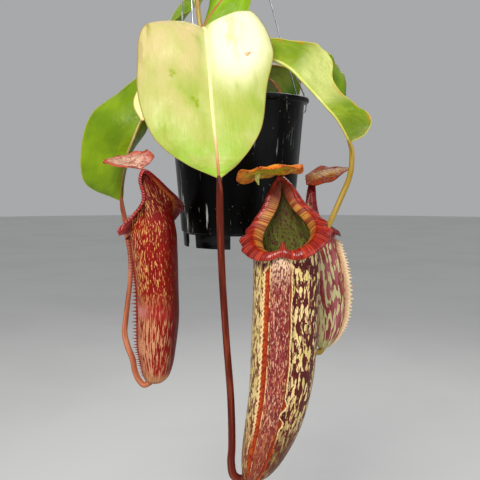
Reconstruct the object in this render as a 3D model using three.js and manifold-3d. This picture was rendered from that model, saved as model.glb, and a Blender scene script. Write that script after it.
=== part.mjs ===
// A tropical pitcher plant in a hanging nursery pot.
//
// Millimetres, +Z up. The sizes below are written round the pot: X and Y are 0 on the pot's axis,
// Z is 0 at the top of its rim, and -Y is the front. The finished group is then moved so that its
// origin is the point under the top of the hook, where the whole plant hangs.

import * as THREE from "three";
import { mergeVertices } from "three/addons/utils/BufferGeometryUtils.js";
import Module from "manifold-3d";

const wasm = await Module();
wasm.setup();

// Pot: a five inch nursery pot.
const POT = {
  rimRadius: 65,
  wallTopRadius: 60.5,
  rimHeight: 6,
  height: 132.5,
  footRadius: 48.5,
  footHeight: 12.8,
  wall: 1.9,
  floor: 2,
  sides: 32,
  notchCount: 6,
  notchWidth: 16,
  notchHeight: 11.5,
  notchTurn: 3,
  drainCount: 5,
  drainRadius: 5,
  drainCircle: 28,
};

// Potting mix: a low mound that stands a little above the rim, with bark chips on it.
const MIX = { edgeLevel: -14.5, moundHeight: 22, bottomGap: 0.4, wallGap: 0.4, lump: 0.9, chips: 10 };

// Hanger: three wires from holes under the rim to the eye of a hook.
const WIRE = {
  radius: 0.75,
  sides: 5,
  holeLevel: -11.5,
  holeRadius: 1.5,
  azimuths: { right: 105, front: -36, back: -120 },
  twistTurns: 2,
  twistPitch: 5,
  twistOffset: 1.95,
  twistStart: 27,
};
const HOOK = { x: -52, y: 0, eyeLevel: 362, wireRadius: 1.5, arcRadius: 11, arcLevel: 396, sides: 7 };

// Clearances between pieces that touch on the real plant.
const TOUCH = 0.35;

// Pitchers: the front one is the pattern, and the others are it at a smaller size.
// Each ring of the body is [height, centre x, radius].
const PATTERN_RADIUS = 26;
const WALL = 1.6;
const PITCHERS = {
  front: {
    y: -105,
    lipLevel: -125,
    heading: 14,
    roll: 7,
    lean: 0,
    skew: -0.08,
    pinch: [0.1, 0.2],
    neck: -5.5,
    wing: 1,
    wingTurn: 0,
    lid: { size: 1, shift: -6, tilt: 0.24, slant: 0.17, dome: [1, 0.3] },
    radius: 26,
    columns: 26,
    ribs: 48,
    rings: [
      [-313.5, 13, 0],
      [-310, 14.5, 9],
      [-302, 18, 14],
      [-288, 22.8, 18.6],
      [-268, 28.8, 22.3],
      [-240, 34.4, 24.6],
      [-205, 37.4, 26],
      [-170, 38.6, 26],
      [-141, 39.3, 26.2],
    ],
  },
  left: {
    y: -50,
    lipLevel: -111,
    heading: 152,
    roll: 17,
    lean: 0.2,
    skew: 0,
    pinch: [0, 0.48],
    neck: 0,
    wing: 1.3,
    wingTurn: 42,
    lid: { size: 0.94, shift: 12, tilt: 0.4, slant: 0.14, dome: [-0.7, 0.7] },
    radius: 20.5,
    columns: 20,
    ribs: 40,
    rings: [
      [-249, -71.5, 0],
      [-247.4, -70.8, 6],
      [-243, -69.8, 10.2],
      [-233, -69, 13.4],
      [-216, -68.8, 16.2],
      [-192, -67.4, 17.6],
      [-165, -67.8, 17.8],
      [-144, -69.2, 18.9],
      [-123, -70.8, 19.8],
    ],
  },
  right: {
    y: -35,
    lipLevel: -116.5,
    heading: -95,
    roll: 2,
    lean: 0.36,
    skew: 0,
    pinch: [0, 0],
    neck: 4,
    wing: 2.4,
    wingTurn: 0,
    lid: { size: 1.2, shift: 0, tilt: 0.33, slant: 0, dome: [2.6, 2.6] },
    radius: 17,
    columns: 20,
    ribs: 34,
    rings: [
      [-222.5, 75.5, 0],
      [-219.5, 76, 5],
      [-211, 77, 10.6],
      [-198, 77.6, 14.8],
      [-180, 77, 17.4],
      [-158, 74.6, 18.2],
      [-142, 71.6, 18],
      [-127, 68.4, 17.2],
    ],
  },
};

// Mouth of the pattern pitcher: points from the middle of the front round one side to the neck,
// each [sideways, forward, up] from the middle of the mouth at the front lip's level.
const MOUTH = {
  inner: [[0, 19.5, -2], [8, 18.5, -3.5], [15, 12.5, 0], [19, 2.5, 8], [15.2, -5, 20], [6.6, -10, 34], [1.8, -13, 45], [0, -15, 52]],
  crest: [[0, 26, -0.5], [10, 27, -0.5], [20, 20, 3], [26, 6, 13], [23.5, -3, 24], [14.6, -9, 38], [7.4, -13.5, 51.5], [0, -16, 58.5]],
  outer: [[0, 28, -1.6], [12, 31, -4.2], [25.5, 24, -0.8], [35, 6.5, 9.5], [30, -4, 21], [20.4, -11, 36], [11, -16, 51], [0, -19, 62]],
};
const LIP = { under: 1.5, gap: 0.85, slope: 1.1, ridge: 0.5, roll: 2.2, curl: [1.4, 3.2], ribHeight: 0.26, tooth: 8, toothWidth: 2.4 };
const EAR = { centre: 3.1, spread: 0.75, reach: 1.7, lobes: 3.2 };
const WING = { angle: 17.5, lean: 26, height: 2.6, tooth: 2.6, sink: 0.8, thickness: 0.9, spacing: 9 };
const LID = { hinge: [0, -18.2, 62.6], length: 43, halfWidth: 27, lobe: 9, rise: 5, dome: 6, thickness: 1 };

// Leaves: each grows from the stem at a height, and has points along its midrib and along both
// margins from there to the tip.
const LEAF_THICKNESS = 0.9;
const PETIOLE_HALF_WIDTH = 1.7;
const LEAVES = {
  leaf_front: {
    height: 42,
    colour: "#b3cc62",
    steps: [14, 8],
    ridge: 1.2,
    wave: [1.2, 3.5],
    rib: [[-29, -42, 53.5], [-26, -50, 51], [-24.5, -58, 40], [-22, -70, 14], [-20, -84, -10], [-17, -97, -37], [-14.8, -104, -58], [-13.6, -106, -71]],
    left: [[-33, -44, 54], [-58, -50, 59], [-77, -57, 52], [-80.7, -70, 20], [-77, -86, -13], [-64, -99, -40], [-41, -105, -59], [-15, -106, -70.6]],
    right: [[-25, -44, 55], [-3, -38, 67], [14, -35, 69], [30, -50, 37], [24.5, -68, 3], [19, -90, -33], [4, -102, -57], [-12.2, -106, -70.8]],
  },
  leaf_right: {
    height: 26,
    colour: "#9ab83a",
    steps: [13, 8],
    ridge: 1.2,
    wave: [1.3, 4],
    rib: [[2, -14, 36], [31, -30, 30], [45, -37, 22], [55, -41, 12], [63, -44, 3], [70, -46, -5], [77, -47, -13], [84, -48, -21], [90, -49, -31], [95, -50, -41]],
    left: [[4, -12, 46], [28, -19, 51], [52, -32, 45], [70, -42, 41], [79, -46, 30], [81, -48, 9], [100, -48, -8], [112, -49, -21], [110, -50, -33], [97, -50, -40.8]],
    right: [[4, -4, 42], [30, -14, 40], [52, -16, 34], [68, -14, 37], [80, -12, 38], [88, -14, 30], [93, -20, 18], [94, -26, 6], [92, -36, -14], [93.5, -49, -40.6]],
  },
  leaf_left: {
    height: 20,
    colour: "#74981c",
    steps: [13, 8],
    ridge: 1.3,
    wave: [1, 4],
    rib: [[-43, -14, 28], [-64, -28, 12], [-77, -36, -12], [-86, -38, -31], [-95, -32, -51], [-101, -24, -73], [-103, -20, -91]],
    left: [[-48, -6, 38], [-79, -16, 22], [-106, -20, 2], [-128, -20, -16], [-138, -18, -46], [-134.5, -18, -76], [-104.5, -20, -91.2]],
    right: [[-38, -10, 22], [-57, -22, 9], [-72, -24, -11], [-80, -21, -30], [-93.5, -16, -49], [-100, -18, -72], [-101.5, -19.5, -91.2]],
  },
  leaf_upper_right: {
    height: 64,
    colour: "#8fb436",
    steps: [10, 6],
    ridge: 1,
    wave: [1.2, 3],
    rib: [[-24, 9, 76], [-12, 14, 92], [0, 24, 110], [12, 34, 124], [22, 42, 130], [30, 46, 128]],
    left: [[-10, 6, 64], [8, 9, 74], [13, 16, 92], [18, 28, 112], [24, 38, 124], [30.6, 45.4, 126.8]],
    right: [[-26, 17, 84], [-22, 28, 108], [-12, 36, 126], [4, 44, 138], [18, 48, 138], [29.4, 46.8, 129.4]],
  },
  leaf_upper_left: {
    height: 84,
    colour: "#86ac34",
    steps: [10, 6],
    ridge: 1,
    wave: [1.2, 3],
    rib: [[-41, 24, 93], [-49, 42, 96], [-60, 58, 88], [-71, 70, 72], [-80, 78, 50]],
    left: [[-48, 34, 82], [-64, 44, 76], [-78, 52, 66], [-86, 62, 54], [-81.2, 77, 49]],
    right: [[-28, 30, 100], [-30, 54, 108], [-44, 74, 98], [-60, 82, 78], [-78.8, 79, 50.6]],
  },
  leaf_back: {
    height: 14,
    colour: "#5f8a24",
    steps: [10, 6],
    ridge: 1,
    wave: [1, 3],
    rib: [[4, 22, 24], [25, 38, 25], [40, 56, 15], [46, 73, -4], [48, 86, -32], [46.5, 90, -60]],
    left: [[14, 14, 32], [40, 28, 33], [61, 50, 24], [60, 68, 2], [58, 84, -28], [48, 89.6, -59.6]],
    right: [[-8, 32, 30], [6, 54, 30], [18, 72, 16], [26, 84, -6], [34, 92, -34], [45, 90.6, -59.4]],
  },
  leaf_low_left: {
    height: 11,
    colour: "#c3cf70",
    steps: [9, 6],
    ridge: 0.8,
    wave: [0.8, 2],
    rib: [[-34, -22, 20], [-52, -40, 18], [-66, -52, 8], [-75, -58, -8], [-78, -62, -24]],
    left: [[-40, -14, 30], [-64, -30, 26], [-80, -46, 8], [-86, -56, -10], [-79, -62, -23.6]],
    right: [[-28, -28, 14], [-42, -48, 8], [-56, -58, -4], [-68, -62, -18], [-77, -62.6, -23.8]],
  },
};

// Tendrils: each starts at its leaf's tip and goes through [x, y, z, radius] points; the short ones
// end in a bud.
const TENDRIL_STEPS = 20;
const TENDRILS = {
  tendril_front: {
    leaf: "leaf_front",
    colour: "#6b2a16",
    start: 1.7,
    route: [[-13.1, -107, -79, 2.5], [-12.8, -107, -103, 2.9], [-11.3, -107, -146, 2.8], [-8.1, -106.5, -198, 2.75], [-4.6, -106, -246, 2.9], [-3.8, -106, -284, 3], [-4.4, -106, -298, 3.2], [-2.4, -106, -308, 3.4], [3, -105.2, -311.8, 3.5]],
  },
  tendril_left: {
    leaf: "leaf_left",
    colour: "#a06a30",
    start: 1.6,
    route: [[-102.2, -18.2, -97.6, 2.1], [-100.9, -16, -106, 2.2], [-98.6, -16.5, -123, 2.2], [-95.3, -21, -140, 2.1], [-94.4, -27, -157, 2.1], [-95.7, -33, -176, 2.2], [-97.4, -38, -194, 2.4], [-98, -42, -206, 2.5], [-95.4, -45, -216, 2.6], [-90.4, -48, -228, 2.7], [-88.6, -49.2, -237, 2.6], [-85.2, -49.6, -245.4, 2.6], [-80.6, -49.8, -250, 2.6]],
  },
  tendril_right: {
    leaf: "leaf_right",
    colour: "#a89a40",
    start: 1.6,
    route: [[97, -50.6, -47.4, 2.1], [97.1, -51.5, -53, 2.3], [96.4, -54, -62, 2.3], [93.5, -60, -72, 2.3], [88.6, -66, -82, 2.3], [79.8, -71, -101, 2.3], [71.6, -72, -119, 2.2], [64, -70, -140, 2.2], [59, -66, -166, 2.2], [57, -59, -193, 2.3], [60, -50, -214, 2.4], [72.4, -37.4, -224, 2.7]],
  },
  tendril_upper_right: {
    leaf: "leaf_upper_right",
    colour: "#a86a30",
    start: 1.2,
    route: [[35.8, 48.8, 125, 1.8], [41, 51, 112, 2], [48, 55, 106, 2], [56, 59, 107.6, 2.8], [60, 61, 116, 4.8], [61, 62, 128, 3.8], [61, 62, 137, 1]],
  },
  tendril_upper_left: {
    leaf: "leaf_upper_left",
    colour: "#a86a30",
    start: 1.2,
    route: [[-82.6, 83, 35, 1.8], [-82, 84, 18, 2], [-78, 85, 2, 2], [-70, 85, -4, 2.8], [-64, 84.6, 3, 5], [-62, 84, 16, 4], [-62, 84, 26.6, 1]],
  },
  tendril_back: {
    leaf: "leaf_back",
    colour: "#a86a30",
    start: 1.2,
    route: [[46.8, 91.6, -73, 1.8], [46, 91, -92, 2], [42, 89, -108, 2.1], [34, 85, -116, 3.2], [27, 81, -108, 5.4], [25, 79, -92, 4.4], [25, 79, -79.4, 1]],
  },
};

// Stem: a leaning, tapering shoot with a rolled young leaf at its top.
const STEM = {
  route: [[-4, 5, -60, 2.8], [-6, 5, -30, 2.8], [-8, 5, -6, 2.7], [-15, 5, 14, 2.5], [-24, 4.5, 38, 2.4], [-32, 4.5, 60, 2.2], [-35.5, 5, 84, 2.1], [-37, 6, 112, 1.9], [-37, 6, 128, 1.5]],
  hole: 0.4,
  steps: 13,
  sides: 9,
};
const YOUNG_LEAF = {
  route: [[-37, 6, 128.6, 1.4], [-36.6, 6.4, 138, 3.2], [-35.6, 7, 152, 3.6], [-34, 8, 166, 2.4], [-32, 9.4, 178, 0.9]],
};

const DEGREE = Math.PI / 180;
const vector = (x, y, z) => new THREE.Vector3(x, y, z);
const between = (a, b, t) => a.clone().lerp(b, t);

// Smooth curve through a list of [x, y, z] points.
function curveThrough(points, closed = false) {
  return new THREE.CatmullRomCurve3(points.map((p) => vector(p[0], p[1], p[2])), closed, "centripetal");
}

// Repeatable random numbers from 0 to 1.
function randomSource(seed) {
  let state = seed;
  return () => {
    state = (state * 1664525 + 1013904223) % 4294967296;
    return state / 4294967296;
  };
}

// Signed volume of a closed, indexed geometry.
function volumeOf(geometry) {
  const position = geometry.getAttribute("position");
  const corners = [vector(0, 0, 0), vector(0, 0, 0), vector(0, 0, 0)];
  let volume = 0;
  for (let i = 0; i < geometry.index.count; i += 3) {
    corners.forEach((corner, k) => corner.fromBufferAttribute(position, geometry.index.getX(i + k)));
    volume += corners[0].dot(corners[1].clone().cross(corners[2])) / 6;
  }
  return volume;
}

// One closed body: only positions, shared vertices merged, faces pointing out.
function closedBody(geometry) {
  const bare = new THREE.BufferGeometry();
  bare.setAttribute("position", geometry.getAttribute("position"));
  if (geometry.index) bare.setIndex(geometry.index);
  const merged = mergeVertices(bare, 1e-4);
  if (volumeOf(merged) < 0) {
    const index = merged.index.array;
    for (let i = 0; i < index.length; i += 3) {
      [index[i], index[i + 1]] = [index[i + 1], index[i]];
    }
  }
  return merged;
}

function toManifold(geometry) {
  const body = closedBody(geometry);
  const vertProperties = new Float32Array(body.getAttribute("position").array);
  return new wasm.Manifold(new wasm.Mesh({ numProp: 3, vertProperties, triVerts: new Uint32Array(body.index.array) }));
}

function fromManifold(solid) {
  const mesh = solid.getMesh();
  const geometry = new THREE.BufferGeometry();
  geometry.setAttribute("position", new THREE.BufferAttribute(new Float32Array(mesh.vertProperties), 3));
  geometry.setIndex(new THREE.BufferAttribute(new Uint32Array(mesh.triVerts), 1));
  return geometry;
}

// Skin that is closed by a pole at each end: place(column, row) gives the point for each grid vertex.
function closedSkin(columns, rows, place) {
  const geometry = new THREE.SphereGeometry(1, columns, rows);
  const position = geometry.getAttribute("position");
  for (let i = 0; i < position.count; i += 1) {
    const row = Math.floor(i / (columns + 1));
    const column = (i % (columns + 1)) % columns;
    const point = place(column, row);
    position.setXYZ(i, point.x, point.y, point.z);
  }
  return closedBody(geometry);
}

// Ring that closes on itself: place(step, corner) gives the point for each grid vertex.
function closedRing(steps, corners, place) {
  const geometry = new THREE.TorusGeometry(1, 0.3, corners, steps);
  const position = geometry.getAttribute("position");
  for (let i = 0; i < position.count; i += 1) {
    const corner = Math.floor(i / (steps + 1)) % corners;
    const step = (i % (steps + 1)) % steps;
    const point = place(step, corner);
    position.setXYZ(i, point.x, point.y, point.z);
  }
  return closedBody(geometry);
}

// Tube with a ring at each [point, radius], with flat ends.
function tubeAlong(stations, sides) {
  const last = stations.length - 1;
  const frames = [];
  let normal = null;
  stations.forEach(({ point }, i) => {
    const before = stations[Math.max(i - 1, 0)].point;
    const after = stations[Math.min(i + 1, last)].point;
    const tangent = after.clone().sub(before).normalize();
    if (!normal) normal = Math.abs(tangent.y) < 0.9 ? vector(0, 1, 0) : vector(1, 0, 0);
    normal = normal.clone().addScaledVector(tangent, -normal.dot(tangent)).normalize();
    frames.push({ point, normal, side: tangent.clone().cross(normal) });
  });
  const geometry = new THREE.CylinderGeometry(1, 1, 1, sides, last);
  const position = geometry.getAttribute("position");
  for (let i = 0; i < position.count; i += 1) {
    const row = Math.round((0.5 - position.getY(i)) * last);
    const { point, normal: across, side } = frames[row];
    const radius = stations[row].radius;
    const placed = point.clone();
    placed.addScaledVector(across, position.getX(i) * radius);
    placed.addScaledVector(side, position.getZ(i) * radius);
    position.setXYZ(i, placed.x, placed.y, placed.z);
  }
  return closedBody(geometry);
}

// Stations along a smooth route of [x, y, z, radius] points.
function smoothStations(route, steps, grow = 0) {
  const path = curveThrough(route);
  return Array.from({ length: steps + 1 }, (_, i) => {
    const point = path.getPoint(i / steps);
    const place = (i / steps) * (route.length - 1);
    const from = Math.min(Math.floor(place), route.length - 2);
    const mix = place - from;
    const radius = route[from][3] * (1 - mix) + route[from + 1][3] * mix;
    return { point, radius: radius + grow };
  });
}

// Thin closed blade round a surface(u, v), u from 0 to 1 along it and v from -1 to 1 across.
// Both faces have the same triangles. lift(u, v) thickens the back face.
function thinBlade(lengthSteps, widthSteps, thickness, surface, lift = () => 0) {
  const grid = new THREE.PlaneGeometry(1, 1, widthSteps, lengthSteps);
  const across = widthSteps + 1;
  const count = across * (lengthSteps + 1);
  const points = [];
  const inset = 0.01;
  for (let i = 0; i < count; i += 1) {
    const u = Math.floor(i / across) / lengthSteps;
    const v = ((i % across) / widthSteps) * 2 - 1;
    const safeU = THREE.MathUtils.clamp(u, inset, 1 - inset);
    const safeV = THREE.MathUtils.clamp(v, -1 + inset, 1 - inset);
    const along = surface(safeU + inset, safeV).sub(surface(safeU - inset, safeV));
    const sideways = surface(safeU, safeV + inset).sub(surface(safeU, safeV - inset));
    points.push({ at: surface(u, v), normal: along.cross(sideways).normalize(), extra: lift(u, v) });
  }
  const front = points.map(({ at, normal }) => at.clone().addScaledVector(normal, thickness / 2));
  const back = points.map(({ at, normal, extra }) => at.clone().addScaledVector(normal, -thickness / 2 - extra));
  const faces = Array.from(grid.index.array);
  const index = [...faces];
  for (let i = 0; i < faces.length; i += 3) {
    index.push(faces[i + 2] + count, faces[i + 1] + count, faces[i] + count);
  }
  const edge = [];
  for (let i = 0; i < lengthSteps; i += 1) edge.push(i * across);
  for (let i = 0; i < widthSteps; i += 1) edge.push(lengthSteps * across + i);
  for (let i = lengthSteps; i > 0; i -= 1) edge.push(i * across + widthSteps);
  for (let i = widthSteps; i > 0; i -= 1) edge.push(i);
  edge.forEach((from, i) => {
    const to = edge[(i + 1) % edge.length];
    index.push(to, from, from + count, to, from + count, to + count);
  });
  const geometry = new THREE.BufferGeometry();
  geometry.setAttribute("position", new THREE.Float32BufferAttribute([...front, ...back].flatMap((p) => p.toArray()), 3));
  geometry.setIndex(index);
  return closedBody(geometry);
}

// Pot

function potInnerRadius(level) {
  const top = POT.wallTopRadius - POT.wall;
  const bottom = POT.footRadius + 1.6 - POT.wall;
  const share = (-POT.rimHeight - level) / (POT.height - POT.footHeight - POT.rimHeight);
  return top + (bottom - top) * share;
}

function potGeometry() {
  const ledge = -(POT.height - POT.footHeight);
  const profile = [
    [0, ledge - POT.floor + 2.2],
    [potInnerRadius(ledge + 2.2), ledge + 2.2],
    [potInnerRadius(-POT.rimHeight), -POT.rimHeight],
    [POT.wallTopRadius - POT.wall + 0.3, -1.2],
    [POT.wallTopRadius - 0.4, 0],
    [POT.rimRadius - 2, 0],
    [POT.rimRadius - 0.4, -0.9],
    [POT.rimRadius, -2.6],
    [POT.rimRadius - 0.8, -4.6],
    [POT.wallTopRadius + 0.4, -POT.rimHeight + 0.6],
    [POT.wallTopRadius, -POT.rimHeight - 0.6],
    [POT.footRadius + 2.2, ledge + 0.8],
    [POT.footRadius + 1, ledge],
    [POT.footRadius, -POT.height],
    [POT.footRadius - 2, -POT.height],
    [POT.footRadius - 1, ledge - 0.2],
    [0, ledge - 0.2],
  ];
  const lathe = new THREE.LatheGeometry(profile.map(([r, z]) => new THREE.Vector2(r, z)), POT.sides);
  lathe.rotateX(Math.PI / 2);
  let solid = toManifold(lathe);
  for (let i = 0; i < POT.notchCount; i += 1) {
    const turn = (POT.notchTurn + (360 / POT.notchCount) * i) * DEGREE;
    const notch = new THREE.BoxGeometry(POT.notchWidth, 12, POT.notchHeight * 2);
    notch.translate(0, -POT.footRadius, -POT.height);
    notch.rotateZ(turn);
    solid = solid.subtract(toManifold(notch));
  }
  for (let i = 0; i < POT.drainCount; i += 1) {
    const turn = ((i + 0.5) * 360 * DEGREE) / POT.drainCount;
    const drain = new THREE.CylinderGeometry(POT.drainRadius, POT.drainRadius, 12, 12);
    drain.rotateX(Math.PI / 2);
    drain.translate(Math.sin(turn) * POT.drainCircle, Math.cos(turn) * POT.drainCircle, ledge);
    solid = solid.subtract(toManifold(drain));
  }
  Object.values(WIRE.azimuths).forEach((azimuth) => {
    const hole = new THREE.CylinderGeometry(WIRE.holeRadius, WIRE.holeRadius, 12, 8);
    hole.translate(0, -POT.wallTopRadius, 0);
    hole.rotateZ(azimuth * DEGREE);
    hole.translate(0, 0, WIRE.holeLevel);
    solid = solid.subtract(toManifold(hole));
  });
  return fromManifold(solid);
}

// Potting mix

function mixLevel(radius, angle) {
  const edge = potInnerRadius(MIX.edgeLevel);
  const share = Math.min(radius / edge, 1);
  const lumps = Math.sin(angle * 5 + radius * 0.31) * Math.cos(angle * 3 - radius * 0.23);
  return MIX.edgeLevel + MIX.moundHeight * (1 - share * share) + MIX.lump * lumps * share * (1.4 - share);
}

function mixGeometry() {
  const floorLevel = -(POT.height - POT.footHeight) + 2.2 + MIX.bottomGap;
  const edge = potInnerRadius(MIX.edgeLevel) - MIX.wallGap;
  const topRadii = [0, edge * 0.25, edge * 0.5, edge * 0.75, edge];
  const profile = [[0, floorLevel], [potInnerRadius(floorLevel) - MIX.wallGap, floorLevel]];
  topRadii.slice().reverse().forEach((radius) => profile.push([radius, MIX.edgeLevel]));
  const lathe = new THREE.LatheGeometry(profile.map(([r, z]) => new THREE.Vector2(r, z)), POT.sides);
  lathe.rotateX(Math.PI / 2);
  const position = lathe.getAttribute("position");
  for (let i = 0; i < position.count; i += 1) {
    if (position.getZ(i) < MIX.edgeLevel - 0.1) continue;
    const radius = Math.hypot(position.getX(i), position.getY(i));
    position.setZ(i, mixLevel(radius, radius > 0.1 ? Math.atan2(position.getY(i), position.getX(i)) : 0));
  }
  let solid = toManifold(lathe);
  const random = randomSource(7);
  for (let i = 0; i < MIX.chips; i += 1) {
    const radius = 10 + 38 * Math.sqrt(random());
    const angle = random() * 2 * Math.PI;
    const chip = new THREE.BoxGeometry(6 + 6 * random(), 4 + 3 * random(), 3 + 2 * random());
    chip.rotateX((random() - 0.5) * 0.9);
    chip.rotateY((random() - 0.5) * 0.9);
    chip.rotateZ(random() * Math.PI);
    chip.translate(radius * Math.cos(angle), radius * Math.sin(angle), mixLevel(radius, angle) + 0.4);
    solid = solid.add(toManifold(chip));
  }
  const holeStations = smoothStations(STEM.route, STEM.steps, STEM.hole);
  holeStations[0].point.z -= STEM.hole;
  const stemHole = tubeAlong(holeStations, STEM.sides);
  return fromManifold(solid.subtract(toManifold(stemHole)));
}

// Pitchers

// Directions and the mouth's guide curves of one pitcher.
function pitcherFrame(pitcher) {
  const heading = pitcher.heading * DEGREE;
  const size = pitcher.radius / PATTERN_RADIUS;
  const guides = {};
  Object.entries(MOUTH).forEach(([name, half]) => {
    const mirrored = half.slice(1, -1).reverse().map(([s, f, z]) => [-s, f, z]);
    guides[name] = curveThrough([...half, ...mirrored].map((p) => p.map((value) => value * size)), true);
  });
  const top = pitcher.rings[pitcher.rings.length - 1];
  return {
    size,
    guides,
    forward: vector(-Math.sin(heading), -Math.cos(heading), 0),
    sideways: vector(Math.cos(heading), -Math.sin(heading), 0),
    centreX: top[1],
    rings: curveThrough(pitcher.rings),
    roll: pitcher.roll * DEGREE,
    lean: pitcher.lean,
    pinch: pitcher.pinch,
    skew: pitcher.skew,
    neck: pitcher.neck,
    wing: pitcher.wing,
    wingTurn: pitcher.wingTurn * DEGREE,
    y: pitcher.y,
    lipLevel: pitcher.lipLevel,
  };
}

// Point of the head, from [sideways, forward, up] at the mouth; the head is tipped sideways.
function headPoint(frame, local) {
  const amount = THREE.MathUtils.smoothstep(local.z, -16 * frame.size, 2 * frame.size) * frame.roll;
  const pivot = 8 * frame.size;
  const hand = Math.sign(frame.forward.y) || 1;
  const up = local.z + frame.neck * frame.size * THREE.MathUtils.smoothstep(local.z, 14 * frame.size, 58 * frame.size);
  const waist = 1 - frame.pinch[local.x > 0 ? 1 : 0] * Math.exp(-((local.z / frame.size - 34) ** 2) / 260);
  const s = local.x * waist * Math.cos(amount) + (up - pivot) * Math.sin(amount) * hand;
  const z = pivot + (up - pivot) * Math.cos(amount) - local.x * Math.sin(amount) * hand;
  const point = vector(frame.centreX, frame.y, frame.lipLevel + z);
  const rise = Math.max(local.z - 20 * frame.size, 0);
  point.addScaledVector(frame.sideways, s + frame.skew * rise);
  return point.addScaledVector(frame.forward, local.y + frame.lean * rise);
}

// Inner edge, crest and outer edge of the lip at a share of the way round, with the lip's own up.
function lipGuides(frame, share) {
  const inner = frame.guides.inner.getPoint(share);
  const crest = frame.guides.crest.getPoint(share);
  const outer = frame.guides.outer.getPoint(share);
  const along = frame.guides.crest.getTangent(share);
  const outward = crest.clone().sub(inner).normalize();
  const up = along.cross(outward).normalize();
  return { inner, crest, outer, outward, up };
}

// Scalloped ears at both sides of the lip.
function earReach(share) {
  const place = share < 0.5 ? share * 14 : (1 - share) * 14;
  const swell = Math.exp(-(((place - EAR.centre) / EAR.spread) ** 2));
  return EAR.reach * swell * Math.cos((place - EAR.centre) * EAR.lobes * Math.PI);
}

function lipGeometry(pitcher) {
  const frame = pitcherFrame(pitcher);
  const { size } = frame;
  const steps = pitcher.ribs * 2;
  const sections = [];
  for (let step = 0; step < steps; step += 1) {
    const share = step / steps;
    const { inner, crest, outer, outward, up } = lipGuides(frame, share);
    const rib = step % 2 ? LIP.ribHeight : -LIP.ribHeight;
    const tooth = LIP.tooth * size * Math.exp(-((inner.x / (LIP.toothWidth * size)) ** 2)) * (inner.y > 0 ? 1 : 0);
    const section = [
      inner.clone().addScaledVector(up, tooth).addScaledVector(outward, tooth * 0.25),
      between(inner, crest, 0.5).addScaledVector(up, LIP.slope * size + rib),
      crest.clone().addScaledVector(up, LIP.ridge * size + rib),
      between(crest, outer, 0.55).addScaledVector(up, LIP.roll * size + rib),
      outer.clone().addScaledVector(outward, earReach(share) * size),
      outer.clone().addScaledVector(outward, (earReach(share) - LIP.curl[0]) * size).addScaledVector(up, -LIP.curl[1] * size),
      crest.clone().addScaledVector(up, -LIP.under * size),
    ];
    sections.push(section.map((local) => headPoint(frame, local)));
  }
  return closedRing(steps, sections[0].length, (step, corner) => sections[step][corner]);
}

// Point on the pitcher's outer wall at an angle from its front, on a level from 0 at the bottom
// to 1 at the top of the tube and 2 under the lip; inset moves it into the wall.
function wallPoint(frame, angle, level, inset = 0) {
  const ring = frame.rings.getPoint(Math.min(level, 1));
  const radius = Math.max(ring.z - inset, 0);
  const base = vector(ring.y, frame.y, ring.x);
  base.addScaledVector(frame.sideways, radius * Math.sin(angle));
  base.addScaledVector(frame.forward, radius * Math.cos(angle));
  if (level <= 1) return base;
  const share = (((angle / (2 * Math.PI)) % 1) + 1) % 1;
  const { inner, crest, outward, up } = lipGuides(frame, share);
  const rim = between(inner, crest, 0.85);
  rim.addScaledVector(outward, -inset);
  rim.addScaledVector(up, -(LIP.under * frame.size + LIP.gap));
  const top = headPoint(frame, rim);
  const climb = level - 1;
  const drift = THREE.MathUtils.smoothstep(climb, 0, 1.15) / THREE.MathUtils.smoothstep(1, 0, 1.15);
  const point = base.clone().lerp(top, drift);
  point.z = base.z + (top.z - base.z) * climb;
  return point;
}

// Rings hold [height, centre x, radius], so a point of their curve is read in that order.
function cupGeometry(pitcher) {
  const frame = pitcherFrame(pitcher);
  const tubeRows = 8;
  const headRows = 5;
  const outerLevels = [];
  for (let i = 0; i <= tubeRows; i += 1) outerLevels.push(i / tubeRows);
  for (let i = 1; i <= headRows; i += 1) outerLevels.push(1 + i / headRows);
  const innerLevels = [2, 1.6, 1.3, 1, 0.7, 0.4, 0.2];
  const rows = outerLevels.length + innerLevels.length;
  const innerBottom = wallPoint(frame, 0, 0.12, 100);
  const place = (column, row) => {
    const angle = (column / pitcher.columns) * 2 * Math.PI;
    if (row === 0) return wallPoint(frame, 0, 0);
    if (row < outerLevels.length) return wallPoint(frame, angle, outerLevels[row]);
    if (row === rows) return innerBottom;
    return wallPoint(frame, angle, innerLevels[row - outerLevels.length], WALL);
  };
  let solid = toManifold(closedSkin(pitcher.columns, rows, place));
  [-1, 1].forEach((side) => {
    solid = solid.add(toManifold(wingGeometry(frame, side)));
  });
  return fromManifold(solid);
}

// Fringed wing down the front of a pitcher: a thin comb whose root is sunk into the wall.
function wingGeometry(frame, side) {
  const angle = frame.wingTurn + side * WING.angle * DEGREE;
  const lean = frame.wingTurn + side * WING.lean * DEGREE;
  const out = vector(0, 0, 0);
  out.addScaledVector(frame.sideways, Math.sin(lean)).addScaledVector(frame.forward, Math.cos(lean));
  const span = frame.lipLevel - wallPoint(frame, 0, 0).z;
  const teeth = Math.round(span / WING.spacing);
  const steps = teeth * 2;
  const surface = (u, v) => {
    const level = 0.13 + u * 1.12;
    const root = wallPoint(frame, angle, level, WING.sink);
    const tooth = Math.round(u * steps) % 2 ? WING.tooth : 0;
    const taper = Math.sin(Math.PI * THREE.MathUtils.clamp(u, 0.04, 0.96)) ** 0.8;
    const height = WING.sink + (WING.height + tooth) * taper * frame.size * frame.wing;
    return root.addScaledVector(out, (height * (v + 1)) / 2);
  };
  const flatSurface = (u, v) => {
    const from = Math.floor(u * steps) / steps;
    const mix = u * steps - Math.floor(u * steps);
    return surface(from, v).lerp(surface(Math.min(from + 1 / steps, 1), v), mix);
  };
  return thinBlade(steps, 1, WING.thickness, flatSurface);
}

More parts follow.
